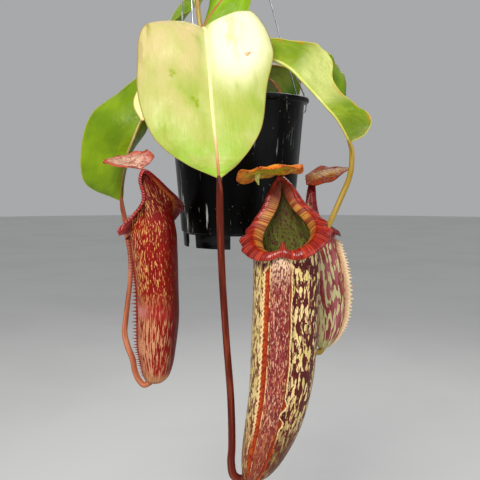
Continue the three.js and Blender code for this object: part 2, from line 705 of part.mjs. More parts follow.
// Lid: a domed leaf on a short stalk over the mouth.
function lidGeometry(pitcher) {
  const frame = pitcherFrame(pitcher);
  const [, hingeForward, hingeUp] = LID.hinge;
  const { size, shift, tilt, slant, dome } = pitcher.lid;
  const surface = (u, v) => {
    const spread = Math.sin(Math.PI * (0.07 + 0.92 * u) ** 0.75) ** 0.7;
    const halfWidth = LID.halfWidth * spread;
    const free = Math.sin(Math.min(u * 3, 1) * Math.PI * 0.5);
    const sideways = v * halfWidth * size + shift * free;
    const forward = hingeForward + (LID.length * u - 3 * v * v * u - LID.lobe * Math.abs(v) ** 1.5 * (1 - u) ** 2) * size;
    const slope = (LID.length * tilt - 3 * u) * u * size + slant * free * (sideways - LID.halfWidth * 0.6);
    const up = hingeUp + LID.rise * free - LID.dome * dome[v < 0 ? 0 : 1] * v * v * spread + slope;
    return headPoint(frame, vector(sideways, forward, up).multiplyScalar(frame.size));
  };
  return thinBlade(8, 6, LID.thickness, surface);
}

// Leaves

// Centre and radius of the stem at a height.
function stemAt(height) {
  const stations = smoothStations(STEM.route, 200);
  return stations.reduce((best, next) => {
    return Math.abs(next.point.z - height) < Math.abs(best.point.z - height) ? next : best;
  });
}

// The leaf's base against the stem: the points of its midrib and of both margins there.
function leafBase(leaf) {
  const { point, radius } = stemAt(leaf.height);
  const outward = vector(leaf.rib[0][0] - point.x, leaf.rib[0][1] - point.y, 0).normalize();
  const centre = point.clone().setZ(leaf.height).addScaledVector(outward, radius + TOUCH + 0.5);
  const across = vector(leaf.left[0][0] - leaf.right[0][0], leaf.left[0][1] - leaf.right[0][1], 0);
  across.addScaledVector(outward, -across.dot(outward)).normalize().multiplyScalar(PETIOLE_HALF_WIDTH);
  return { rib: centre, left: centre.clone().add(across), right: centre.clone().sub(across) };
}

function leafCurves(leaf) {
  const base = leafBase(leaf);
  const rib = curveThrough([base.rib.toArray(), ...leaf.rib]);
  const margins = [curveThrough([base.left.toArray(), ...leaf.left]), curveThrough([base.right.toArray(), ...leaf.right])];
  return { rib, margins };
}

function leafGeometry(leaf) {
  const { rib, margins } = leafCurves(leaf);
  const [waveHeight, waves] = leaf.wave;
  const plain = (u, v) => {
    const across = Math.abs(v);
    return between(rib.getPoint(u), margins[v < 0 ? 0 : 1].getPoint(u), across);
  };
  const surface = (u, v) => {
    const point = plain(u, v);
    const width = margins[v < 0 ? 0 : 1].getPoint(u).distanceTo(rib.getPoint(u));
    const along = rib.getTangent(u);
    const sideways = plain(u, 1).sub(plain(u, -1));
    const normal = along.cross(sideways).normalize();
    const belly = width * 0.1 * Math.abs(v) * (1 - Math.abs(v)) * 4;
    const wave = waveHeight * v * v * Math.sin(u * waves * 2 * Math.PI + (v < 0 ? 0 : 1.7)) * Math.min(width / 20, 1);
    return point.addScaledVector(normal, wave + belly);
  };
  const fade = (u) => Math.min(u * 9, 1) * Math.min((1 - u) * 9, 1);
  const lift = (u, v) => (Math.abs(v) < 0.01 ? leaf.ridge * (1 - 0.6 * u) * fade(u) : 0);
  return thinBlade(leaf.steps[0], leaf.steps[1], LEAF_THICKNESS, surface, lift);
}

// Tendrils

function tendrilGeometry(tendril) {
  const { rib } = leafCurves(LEAVES[tendril.leaf]);
  const start = rib.getPoint(1).addScaledVector(rib.getTangent(1), 2.6 * TOUCH);
  return tubeAlong(smoothStations([[...start.toArray(), tendril.start], ...tendril.route], TENDRIL_STEPS), 6);
}

// Hanger

// Straight strand of a wire from its hole in the pot to the hook's eye.
function strandEnds(azimuth, eyeY) {
  const turn = azimuth * DEGREE;
  const outward = vector(Math.sin(turn), -Math.cos(turn), 0);
  const insideRadius = potInnerRadius(0) - 1.6;
  const foot = outward.clone().multiplyScalar(insideRadius).setZ(2);
  const side = outward.x > 0 ? 1 : -1;
  const loop = HOOK.wireRadius + WIRE.radius + TOUCH;
  const head = vector(HOOK.x + side * loop, HOOK.y + eyeY, HOOK.eyeLevel);
  return { outward, foot, head, side, loop };
}

function wireGeometry(azimuth, eyeY) {
  const { outward, foot, head, side, loop } = strandEnds(azimuth, eyeY);
  const at = (radius, z) => outward.clone().multiplyScalar(radius).setZ(z);
  const strand = head.clone().sub(foot);
  const length = strand.length();
  strand.normalize();
  const points = [];
  const tail = 14;
  points.push(head.clone().add(vector(-side * 2 * loop, 0, -tail)));
  for (let i = 0; i <= 6; i += 1) {
    const turn = Math.PI * (1 - i / 6);
    points.push(vector(HOOK.x + side * loop * Math.cos(turn), head.y, HOOK.eyeLevel + loop * Math.sin(turn)));
  }
  points.push(foot.clone());
  const wallRadius = POT.wallTopRadius;
  const under = WIRE.holeLevel;
  points.push(at(wallRadius - 4.4, under + 3.4), at(wallRadius - 3.7, under + 0.9), at(wallRadius - 2.7, under));
  points.push(at(wallRadius + 3.4, under), at(wallRadius + 5.6, under + 2), at(POT.rimRadius + 1.5, under + 5.5));
  points.push(at(POT.rimRadius + 1.6, -1));
  const across = strand.clone().cross(outward).normalize();
  const lean = across.clone().cross(strand).normalize();
  const twistSteps = WIRE.twistTurns * 8;
  for (let i = 0; i <= twistSteps; i += 1) {
    const turn = (i / 8) * 2 * Math.PI;
    const climb = WIRE.twistStart + (i / 8) * WIRE.twistPitch;
    const centre = foot.clone().addScaledVector(strand, Math.min(climb, length));
    centre.addScaledVector(lean, WIRE.twistOffset * Math.cos(turn));
    points.push(centre.addScaledVector(across, WIRE.twistOffset * Math.sin(turn)));
  }
  return tubeAlong(points.map((point) => ({ point, radius: WIRE.radius })), WIRE.sides);
}

function hookGeometry() {
  const { x, y, eyeLevel, arcRadius, arcLevel } = HOOK;
  const outline = [[-arcRadius - 2.2, arcLevel - 9], [-arcRadius, arcLevel - 2]];
  for (let i = 0; i <= 8; i += 1) {
    const turn = Math.PI * (1 - i / 8);
    outline.push([arcRadius * Math.cos(turn), arcLevel + 2 + arcRadius * Math.sin(turn)]);
  }
  outline.push([arcRadius, arcLevel - 4], [arcRadius - 3.4, arcLevel - 11], [2, arcLevel - 17], [0, arcLevel - 22]);
  const upper = outline.map(([dx, z]) => vector(x + dx, y, z));
  const eye = [[0, 10], [4.4, 8], [7.6, 4.6], [8, 1.6], [6.4, 0], [-6.4, 0], [-8, 1.6], [-7.6, 4.6], [-5.6, 7.4]];
  const lower = eye.map(([dy, dz]) => vector(x, y + dy, eyeLevel + dz));
  const stations = [...upper, ...lower].map((point) => ({ point, radius: HOOK.wireRadius }));
  return tubeAlong(stations, HOOK.sides);
}

// Assembly

const plant = new THREE.Group();
const bearingLevel = HOOK.arcLevel + 2 + HOOK.arcRadius - HOOK.wireRadius;
plant.position.set(-HOOK.x, -HOOK.y, -bearingLevel);

function addPiece(name, geometry, color, roughness, metalness = 0) {
  const mesh = new THREE.Mesh(geometry, new THREE.MeshStandardMaterial({ color, roughness, metalness }));
  mesh.name = name;
  plant.add(mesh);
}

addPiece("pot", potGeometry(), "#15171a", 0.3);
addPiece("potting_mix", mixGeometry(), "#2a2019", 0.95);
addPiece("stem", tubeAlong(smoothStations(STEM.route, STEM.steps), STEM.sides), "#b0763a", 0.55);
addPiece("young_leaf", tubeAlong(smoothStations(YOUNG_LEAF.route, 8), 8), "#9fc050", 0.5);
Object.entries(LEAVES).forEach(([name, leaf]) => addPiece(name, leafGeometry(leaf), leaf.colour, 0.4));
Object.entries(TENDRILS).forEach(([name, tendril]) => {
  addPiece(name, tendrilGeometry(tendril), tendril.colour, 0.5);
});
const CUP_COLOURS = { front: "#c9a070", left: "#8a2a20", right: "#8a4a50" };
Object.entries(PITCHERS).forEach(([name, pitcher]) => {
  addPiece(`pitcher_${name}`, cupGeometry(pitcher), CUP_COLOURS[name], 0.45);
  addPiece(`lip_${name}`, lipGeometry(pitcher), "#b8202a", 0.3);
  addPiece(`lid_${name}`, lidGeometry(pitcher), "#c07a30", 0.5);
});
addPiece("hanger_hook", hookGeometry(), "#b4b6b8", 0.35, 0.9);
const EYE_PLACES = { right: 0, front: -3.2, back: 3.2 };
Object.entries(WIRE.azimuths).forEach(([name, azimuth]) => {
  addPiece(`hanger_wire_${name}`, wireGeometry(azimuth, EYE_PLACES[name]), "#b4b6b8", 0.35, 0.9);
});

const scene = new THREE.Group();
scene.add(plant);

export default scene;
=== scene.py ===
"""Looks of a tropical pitcher plant that hangs from a hook in a nursery pot.

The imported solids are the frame. Each class builds one sub-assembly at full detail and stands for the
solids that it replaces. Sizes are millimetres, written round the pot: X and Y are 0 on its axis, Z is 0
at the top of its rim and -Y is the front. Meshes are moved to the hook's frame, in metres, as they are made.
"""

import logging
from dataclasses import dataclass
from enum import Enum

import bpy
import numpy as np
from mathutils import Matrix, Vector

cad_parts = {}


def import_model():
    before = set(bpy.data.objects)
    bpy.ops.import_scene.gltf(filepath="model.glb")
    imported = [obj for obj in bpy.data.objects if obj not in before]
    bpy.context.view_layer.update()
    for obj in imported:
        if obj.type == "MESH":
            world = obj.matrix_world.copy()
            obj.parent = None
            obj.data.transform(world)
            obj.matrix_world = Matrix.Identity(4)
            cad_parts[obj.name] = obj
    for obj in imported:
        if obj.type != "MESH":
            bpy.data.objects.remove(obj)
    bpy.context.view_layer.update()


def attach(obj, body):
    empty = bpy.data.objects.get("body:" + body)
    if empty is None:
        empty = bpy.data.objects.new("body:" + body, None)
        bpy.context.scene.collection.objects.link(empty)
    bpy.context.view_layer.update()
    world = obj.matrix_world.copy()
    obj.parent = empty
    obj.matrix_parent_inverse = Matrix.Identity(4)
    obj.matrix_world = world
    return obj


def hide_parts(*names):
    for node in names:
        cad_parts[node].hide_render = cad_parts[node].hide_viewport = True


LOG = logging.getLogger("pitcher_plant")
MILLIMETRE = 0.001
# From the pot's frame to the bearing point under the hook's arc.
HOOK_SHIFT = np.array([52.0, 0.0, -407.5])
TURN = 2 * np.pi
# Takes the height out of a direction.
LEVEL = np.array([1.0, 1.0, 0.0])
# Root of the distance under which two points of a curve count as one.
NO_GAP = 1e-4
# Share of a curve to either side of a place, between which its direction is read.
CURVE_STEP = 1e-4

Points = np.ndarray
Row = tuple[float, ...]
Piece = bpy.types.Object
Tree = bpy.types.NodeTree
Socket = bpy.types.NodeSocket


# Materials


class Pattern(Enum):
    """What decides where a colour or a relief lies: soft clouds, cells, or a value on the mesh."""

    CLOUDS = "ShaderNodeTexNoise"
    CELLS = "ShaderNodeTexVoronoi"
    PAINTED = "ShaderNodeAttribute"


def linear(colour: str) -> tuple[float, float, float, float]:
    """Turns an sRGB hex colour to linear.

    Args:
        colour: A hash sign and six hex digits.

    Returns:
        Red, green, blue and an opacity of 1.
    """
    parts = [int(colour[i:i + 2], 16) / 255 for i in (1, 3, 5)]
    bright = [((part + 0.055) / 1.055) ** 2.4 if part > 0.04045 else part / 12.92 for part in parts]
    return bright[0], bright[1], bright[2], 1.0


def add_node(tree: Tree, kind: str, values: dict | None = None) -> bpy.types.Node:
    """Adds one node with its settings and links.

    Args:
        tree: The material's node tree.
        kind: The node's type.
        values: Its own properties, and its inputs by name or number, each a value or a socket to link.

    Returns:
        The new node.
    """
    node = tree.nodes.new(kind)
    for key, value in (values or {}).items():
        if isinstance(value, Socket):
            tree.links.new(value, node.inputs[key])
        elif isinstance(key, int) or key in node.inputs:
            node.inputs[key].default_value = value
        else:
            setattr(node, key, value)
    return node


def work_out(tree: Tree, operation: str, *terms: Socket | float) -> Socket:
    """Works out one operation on sockets and numbers."""
    return add_node(tree, "ShaderNodeMath", {"operation": operation} | dict(enumerate(terms))).outputs[0]


def read_mesh(tree: Tree, name: str, output: str) -> Socket:
    """Reads a number or a vector that the mesh carries."""
    return add_node(tree, Pattern.PAINTED.value, {"attribute_name": name}).outputs[output]


@dataclass(frozen=True)
class Mask:
    """Where a pattern's value lies between low and high, as a smooth 0 to 1. Sizes are millimetres."""

    pattern: Pattern
    low: float
    high: float
    size: float | Row = 10.0
    name: str = ""
    detail: float = 2.0
    place: float = 0.0
    warp: float = 0.0
    lean: float = 0.0

    def socket(self, tree: Tree, place: Socket) -> Socket:
        """Builds the mask's nodes.

        Args:
            tree: The material's node tree.
            place: The place on the surface, in metres.

        Returns:
            The socket with the mask's value.
        """
        if self.pattern is Pattern.PAINTED:
            value = read_mesh(tree, self.name, "Fac")
        else:
            stretch = [1 / (side * MILLIMETRE) for side in np.broadcast_to(self.size, 3)]
            mapping = {"Scale": stretch, "Location": [self.place] * 3, "Vector": place}
            values = {"Scale": 1.0, "Vector": add_node(tree, "ShaderNodeMapping", mapping).outputs[0]}
            if self.pattern is Pattern.CLOUDS:
                values |= {"Detail": self.detail, "Distortion": self.warp}
            value = add_node(tree, self.pattern.value, values).outputs[0]
            if self.lean:
                leaning = read_mesh(tree, self.name, "Fac")
                value = work_out(tree, "MULTIPLY_ADD", leaning, self.lean, value)
        ends = {"interpolation_type": "SMOOTHSTEP", "From Min": self.low, "From Max": self.high}
        return add_node(tree, "ShaderNodeMapRange", ends | {"Value": value}).outputs[0]


def clouds(low: float, high: float, size: float | Row, detail: float = 2.0, place: float = 0.0) -> Mask:
    """Mask of soft clouds, each about one size across."""
    return Mask(Pattern.CLOUDS, low, high, size, detail=detail, place=place)


def leaning_clouds(
    low: float, high: float, size: Row, place: float, warp: float, name: str, lean: float
) -> Mask:
    """Mask of warped clouds that cover more where the value that the mesh carries is greater."""
    return Mask(Pattern.CLOUDS, low, high, size, name, 2.0, place, warp, lean)


def cells(low: float, high: float, size: float | Row, place: float = 0.0) -> Mask:
    """Mask of the distance from scattered points, one to each size."""
    return Mask(Pattern.CELLS, low, high, size, place=place)


def painted(name: str, low: float, high: float) -> Mask:
    """Mask of a value that the mesh carries."""
    return Mask(Pattern.PAINTED, low, high, name=name)


@dataclass(frozen=True)
class Layer:
    """A colour over the ones below it, where all of its masks let it show."""

    colour: str
    strength: float
    masks: tuple[Mask, ...]


@dataclass(frozen=True)
class Relief:
    """Height in millimetres that a mask adds to the surface."""

    height: float
    mask: Mask


def layer(colour: str, strength: float, *masks: Mask) -> Layer:
    """One layer of colour."""
    return Layer(colour, strength, masks)


def relief(height: float, size: float | Row, detail: float = 2.0, place: float = 0.0) -> Relief:
    """Relief of soft clouds, each about one size across."""
    return Relief(height, clouds(0.3, 0.7, size, detail, place))


@dataclass(frozen=True)
class Finish:
    """A real substance: its colours from the ground up, its relief and how it takes the light."""

    substance: str
    ground: str
    layers: tuple[Layer, ...] = ()
    reliefs: tuple[Relief, ...] = ()
    roughness: float = 0.5
    dull: Mask | None = None
    dull_roughness: float = 0.5
    metallic: float = 0.0
    flesh: float = 0.0
    specular: float = 0.5
    follows: str = ""

    def material(self) -> bpy.types.Material:
        """Makes the material once and hands out the same one after that.

        Returns:
            The material.
        """
        made = bpy.data.materials.get(self.substance)
        if made:
            return made
        made = bpy.data.materials.new(self.substance)
        made.use_nodes = True
        tree = made.node_tree
        tree.nodes.clear()
        if self.follows:
            place = read_mesh(tree, self.follows, "Vector")
        else:
            place = add_node(tree, "ShaderNodeTexCoord").outputs["Object"]
        values = {
            "Base Color": self._colour(tree, place),
            "Roughness": self._roughness(tree, place),
            "Metallic": self.metallic,
            "Specular IOR Level": self.specular,
            "Subsurface Weight": self.flesh,
            "Subsurface Radius": (0.8, 1.0, 0.3),
            "Subsurface Scale": 2 * MILLIMETRE,
        }
        if self.reliefs:
            values["Normal"] = self._bump(tree, place)
        shader = add_node(tree, "ShaderNodeBsdfPrincipled", values)
        add_node(tree, "ShaderNodeOutputMaterial", {"Surface": shader.outputs[0]})
        return made

    def _colour(self, tree: Tree, place: Socket) -> Socket | Row:
        """Lays the colours over one another.

        Args:
            tree: The material's node tree.
            place: The place on the surface.

        Returns:
            The topmost colour.
        """
        colour = linear(self.ground)
        for upper in self.layers:
            amount = upper.strength
            for mask in upper.masks:
                amount = work_out(tree, "MULTIPLY", mask.socket(tree, place), amount)
            mix = {"data_type": "RGBA", 0: amount, 6: colour, 7: linear(upper.colour)}
            colour = add_node(tree, "ShaderNodeMix", mix).outputs[2]
        return colour

    def _roughness(self, tree: Tree, place: Socket) -> Socket | float:
        """Makes the duller places rougher.

        Args:
            tree: The material's node tree.
            place: The place on the surface.

        Returns:
            The roughness.
        """
        if self.dull is None:
            return self.roughness
        dull = self.dull.socket(tree, place)
        ends = {"To Min": self.roughness, "To Max": self.dull_roughness, "Value": dull}
        return add_node(tree, "ShaderNodeMapRange", ends).outputs[0]

    def _bump(self, tree: Tree, place: Socket) -> Socket:
        """Adds up the reliefs.

        Args:
            tree: The material's node tree.
            place: The place on the surface.

        Returns:
            The direction that the surface faces with them.
        """
        height = 0.0
        for one in self.reliefs:
            height = work_out(tree, "MULTIPLY_ADD", one.mask.socket(tree, place), one.height, height)
        return add_node(tree, "ShaderNodeBump", {"Distance": MILLIMETRE, "Height": height}).outputs[0]


# Curves and meshes


def smooth_step(value: Points, low: float, high: float) -> Points:
    """0 below low, 1 above high and an S curve between."""
    share = np.clip((value - low) / (high - low), 0, 1)
    return share * share * (3 - 2 * share)


def hump(distance: Points, width: float) -> Points:
    """1 where the distance is 0, falling to nothing over about two widths."""
    return np.exp(-((distance / width) ** 2))


def by_side(place: Points, pair: Row) -> Points:
    """The pair's first value where the place is below 0, and its second value elsewhere."""
    return np.where(place < 0, pair[0], pair[1])


def unit(vectors: Points) -> Points:
    """The vectors at a length of one."""
    return vectors / np.maximum(np.linalg.norm(vectors, axis=-1, keepdims=True), 1e-9)


def lengths_along(points: Points) -> Points:
    """Length of the line of points up to each of them."""
    return np.concatenate([[0], np.cumsum(np.linalg.norm(np.diff(points, axis=0), axis=1))])


def smooth(points: Points, shares: Points, closed: bool = False) -> Points:
    """Reads a smooth curve that goes through all of its points.

    Args:
        points: The curve's points, with their coordinates last.
        shares: Places on it, from 0 at its first point to 1 at its last.
        closed: Whether it goes on to its first point again.

    Returns:
        One point for each share.
    """
    count = len(points)
    place = shares * (count if closed else count - 1)
    start = np.floor(place).astype(int)
    if closed:
        near = [points[(start + step) % count] for step in (-1, 0, 1, 2)]
    else:
        start = np.clip(start, 0, count - 2)
        padded = np.concatenate([[2 * points[0] - points[1]], points, [2 * points[-1] - points[-2]]])
        near = [padded[start + step] for step in range(4)]
    before, here, there, after = near
    gaps = [np.linalg.norm(b - a, axis=-1, keepdims=True) ** 0.5 for a, b in zip(near, near[1:])]
    middle = np.where(gaps[1] < NO_GAP, 1.0, gaps[1])
    first, last = (np.where(gap < NO_GAP, middle, gap) for gap in (gaps[0], gaps[2]))
    pace = (there - here) / middle
    leave = ((here - before) / first - (there - before) / (first + middle) + pace) * middle
    arrive = (pace - (after - here) / (middle + last) + (after - there) / last) * middle
    part = (place - start).reshape((-1,) + (1,) * (here.ndim - 1))
    bend = 3 * (there - here) - 2 * leave - arrive
    return here + leave * part + bend * part**2 + (2 * (here - there) + leave + arrive) * part**3


def heading(points: Points, shares: Points, closed: bool = False) -> Points:
    """Reads the direction of a smooth curve.

    Args:
        points: The curve's points.
        shares: Places on it.
        closed: Whether it goes on to its first point again.

    Returns:
        One direction for each share.
    """
    ends = (-np.inf, np.inf) if closed else (0, 1)
    after, before = (np.clip(shares + move, *ends) for move in (CURVE_STEP, -CURVE_STEP))
    return unit(smooth(points, after, closed) - smooth(points, before, closed))


def route_of(route: Points | tuple[Row, ...], steps: int) -> tuple[Points, Points]:
    """Reads a smooth route of [x, y, z, radius] points.

    Args:
        route: The route's points.
        steps: How many stretches to make of it.

    Returns:
        The points and the radius at each.
    """
    rows = np.array(route, float)
    shares = np.linspace(0, 1, steps + 1)
    radii = np.interp(shares * (len(rows) - 1), np.arange(len(rows)), rows[:, 3])
    return smooth(rows[:, :3], shares), radii


def round_axis(radius: Points, share: Points, level: Points) -> Points:
    """Points at a radius, at a share of the turn round an axis, and at a level."""
    return np.stack([radius * np.cos(share * TURN), radius * np.sin(share * TURN), level], axis=1)


def turned(at: Points, turn: float, first: int = 0, second: int = 1) -> Points:
    """Turns points in the plane of two of their coordinates.

    Args:
        at: The points.
        turn: The turn in radians.
        first: The coordinate that it turns away from.
        second: The coordinate that it turns towards.

    Returns:
        The turned points.
    """
    result = at.copy()
    result[:, first] = at[:, first] * np.cos(turn) - at[:, second] * np.sin(turn)
    result[:, second] = at[:, first] * np.sin(turn) + at[:, second] * np.cos(turn)
    return result


def add_primitive(kind: str, name: str, **sizes: object) -> Piece:
    """Adds one of Blender's primitives as a new piece.

    Args:
        kind: The primitive, as its operator names it.
        name: The piece's name.
        **sizes: What the operator takes.

    Returns:
        The piece, active and the only one selected.
    """
    bpy.ops.object.select_all(action="DESELECT")
    getattr(bpy.ops.mesh, f"primitive_{kind}_add")(**sizes)
    piece = bpy.context.object
    piece.name = name
    piece.data.name = name
    return piece


def vertices_of(piece: Piece) -> Points:
    """Reads where the piece's vertices are.

    Args:
        piece: The piece.

    Returns:
        A point for each vertex.
    """
    flat = np.zeros(len(piece.data.vertices) * 3)
    piece.data.vertices.foreach_get("co", flat)
    return flat.reshape(-1, 3)


def new_sheet(name: str, across: int, along: int) -> tuple[Piece, Points, Points]:
    """Adds a flat grid to be placed by its two shares.

    Args:
        name: The piece's name.
        across: Faces over its width.
        along: Faces over its length.

    Returns:
        The piece, each vertex's share along from 0 to 1, and its share across from -1 to 1.
    """
    piece = add_primitive("grid", name, x_subdivisions=across, y_subdivisions=along, size=2)
    at = vertices_of(piece)
    return piece, (at[:, 1] + 1) / 2, at[:, 0]


def steps_round(x: Points, y: Points, steps: int) -> Points:
    """Which of the steps round a circle each point lies at."""
    return np.rint(np.arctan2(y, x) / TURN * steps).astype(int) % steps


def new_skin(name: str, columns: int, rows: int) -> tuple[Piece, Points, Points]:
    """Adds a globe, a closed skin with a pole at each end, to be placed by column and row.

    Args:
        name: The piece's name.
        columns: Faces round it.
        rows: Faces from pole to pole.

    Returns:
        The piece, each vertex's share round it, and its row, from 0 to rows.
    """
    piece = add_primitive("uv_sphere", name, segments=columns, ring_count=rows, radius=1)
    x, y, z = vertices_of(piece).T
    row = np.rint(np.arccos(np.clip(z, -1, 1)) / np.pi * rows).astype(int)
    return piece, steps_round(x, y, columns) / columns, row


def new_ring(name: str, steps: int, corners: int) -> tuple[Piece, Points, Points]:
    """Adds a ring that closes on itself, to be placed by step and corner.

    Args:
        name: The piece's name.
        steps: Faces round the ring.
        corners: Faces round its section.

    Returns:
        The piece, each vertex's step, and its corner.
    """
    radius = 1.0
    sizes = {"major_segments": steps, "minor_segments": corners, "major_radius": radius, "minor_radius": 0.3}
    piece = add_primitive("torus", name, **sizes)
    x, y, z = vertices_of(piece).T
    return piece, steps_round(x, y, steps), steps_round(np.hypot(x, y) - radius, z, corners)


def face_out(piece: Piece) -> None:
    """Turns a closed mesh's faces outwards if its volume comes out negative.

    Args:
        piece: The piece.
    """
    piece.data.calc_loop_triangles()
    corners = np.zeros(len(piece.data.loop_triangles) * 3, int)
    piece.data.loop_triangles.foreach_get("vertices", corners)
    a, b, c = vertices_of(piece)[corners].reshape(-1, 3, 3).transpose(1, 0, 2)
    if np.einsum("ij,ij->i", a, np.cross(b, c)).sum() < 0:
        piece.data.flip_normals()


def settle(piece: Piece, points: Points) -> None:
    """Puts the vertices at these points of the pot's frame, and smooths the shading.

    Args:
        piece: The piece.
        points: A point for each vertex, in millimetres.
    """
    piece.data.vertices.foreach_set("co", ((points + HOOK_SHIFT) * MILLIMETRE).ravel())
    piece.data.update()
    face_out(piece)
    piece.data.shade_smooth()


def paint(piece: Piece, **values: Points) -> None:
    """Keeps numbers, or vectors in millimetres, on the vertices, for the piece's material to read.

    Args:
        piece: The piece.
        **values: A number or a vector for each vertex, under the name that the material reads.
    """
    for name, value in values.items():
        if value.ndim == 1:
            held = piece.data.attributes.new(name, "FLOAT", "POINT")
            held.data.foreach_set("value", value.astype(np.float32))
        else:
            held = piece.data.attributes.new(name, "FLOAT_VECTOR", "POINT")
            held.data.foreach_set("vector", (value * MILLIMETRE).astype(np.float32).ravel())


def select_only(piece: Piece) -> None:
    """Makes the piece the active object and the only one selected.

    Args:
        piece: The piece.
    """
    bpy.ops.object.select_all(action="DESELECT")
    piece.select_set(True)
    bpy.context.view_layer.objects.active = piece


def apply_modifier(piece: Piece, kind: str, **settings: object) -> None:
    """Adds a modifier and applies it.

    Args:
        piece: The piece.
        kind: The modifier's type.
        **settings: Its settings.
    """
    select_only(piece)
    modifier = piece.modifiers.new(kind, kind)
    for key, value in settings.items():
        setattr(modifier, key, value)
    bpy.ops.object.modifier_apply(modifier=modifier.name)


def thicken(piece: Piece, thickness: float) -> None:
    """Gives a sheet its thickness, half to each side.

    Args:
        piece: The sheet.
        thickness: Its thickness in millimetres.
    """
    apply_modifier(piece, "SOLIDIFY", thickness=thickness * MILLIMETRE, offset=0.0)
    face_out(piece)
    piece.data.shade_smooth()


def join(first: Piece, *others: Piece) -> Piece:
    """Joins pieces into one.

    Args:
        first: The piece that stays.
        *others: The pieces that go into it.

    Returns:
        The first piece.
    """
    select_only(first)
    for other in others:
        other.select_set(True)
    bpy.ops.object.join()
    return first


def new_tube(name: str, points: Points, radii: Points, sides: int) -> Piece:
    """Makes a tube with rounded ends along a line of points.

    Args:
        name: The piece's name.
        points: The points of its middle line.
        radii: Its radius at each point.
        sides: Faces round it.

    Returns:
        The tube. It carries "along", from 0 to 1, and "grain", its own frame for patterns.
    """
    directions = unit(np.gradient(points, axis=0))
    across = np.zeros_like(points)
    normal = np.array([0.0, 1.0, 0.0]) if abs(directions[0][1]) < 0.9 else np.array([1.0, 0.0, 0.0])
    for i, direction in enumerate(directions):
        normal = unit(normal - direction * np.dot(normal, direction))
        across[i] = normal
    side = np.cross(directions, across)
    rounding = 3
    bulge = 0.8
    last = len(points) - 1
    caps = np.sin(np.linspace(0, np.pi / 2, rounding + 1))
    order = np.concatenate([np.zeros(rounding, int), np.arange(last + 1), np.full(rounding, last)])
    shrink = np.concatenate([caps[:-1], np.ones(last + 1), caps[-2::-1]])
    push = np.concatenate([-caps[:0:-1], np.zeros(last + 1), caps[1:]]) * radii[order] * bulge
    piece, share, row = new_skin(name, sides, len(order) - 1)
    at = order[row]
    reach = (radii[at] * shrink[row])[:, None]
    angle = (share * TURN)[:, None]
    middle = points[at] + directions[at] * push[row][:, None]
    settle(piece, middle + reach * (across[at] * np.cos(angle) + side[at] * np.sin(angle)))
    lengths = lengths_along(points)
    paint(piece, along=lengths[at] / lengths[-1], grain=round_axis(radii[at], share, lengths[at]))
    return piece


def hand_over(piece: Piece, finish: Finish, node: str) -> None:
    """Dresses a piece, hides the solid that it stands for, logs it and lets the piece ride with the plant.

    Args:
        piece: The finished piece.
        finish: Its material.
        node: The solid that it replaces.
    """
    piece.data.materials.clear()
    piece.data.materials.append(finish.material())
    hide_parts(node)
    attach(piece, "root")
    LOG.info("%s: %d faces for %s", piece.name, len(piece.data.polygons), node)


# Pot and potting mix

# Injection-moulded polypropylene: near black and shiny, with pale runs down the wall that are dried lime from
# the watering water and also a painted reflection of a light strip, fine splashed grit, and a greyer foot
# where water stands.
POT_PLASTIC = Finish(
    "moulded_black_polypropylene",
    "#030303",
    (
        layer("#1c1f1f", 0.8, painted("height", -117, -122), clouds(0.35, 0.65, (14, 14, 5))),
        # Pale vertical runs: dried lime, and also a painted reflection of a light strip down the black wall.
        layer("#c9cdc8", 0.85, clouds(0.655, 0.72, (5, 5, 95), 3, 4.6), painted("height", -20, -70)),
        layer("#8b8f8c", 0.5, clouds(0.62, 0.70, (2.2, 2.2, 30), 3, 1.3), clouds(0.5, 0.62, (30, 30, 50))),
        layer("#b8bab2", 0.7, cells(0.12, 0.06, 4.5), clouds(0.58, 0.66, 26, 2, 3)),
        layer("#6a5a48", 0.6, cells(0.12, 0.06, 7, 2)),
    ),
    (relief(0.05, (1.1, 1.1, 26)), relief(0.02, 0.9)),
    roughness=0.22,
    dull=clouds(0.4, 0.75, (18, 18, 50), 3),
    dull_roughness=0.45,
    specular=0.09,
)

# Coconut chip and bark, damp: brown-black lumps, paler fibres and grains of perlite.
MIX_BARK = Finish(
    "damp_bark_and_coir",
    "#2a1e16",
    (
        layer("#4a3524", 1, clouds(0.48, 0.6, 5, 4)),
        layer("#71573c", 0.8, clouds(0.58, 0.64, (1.2, 6, 1.2), 3, 2)),
        layer("#5f7434", 0.7, clouds(0.56, 0.68, 22, 4, 5)),
        layer("#ddd8c8", 1, cells(0.16, 0.1, 8, 1)),
    ),
    (relief(0.9, 2.4, 4), relief(0.3, (0.7, 3, 0.7), 3)),
    roughness=0.9,
)


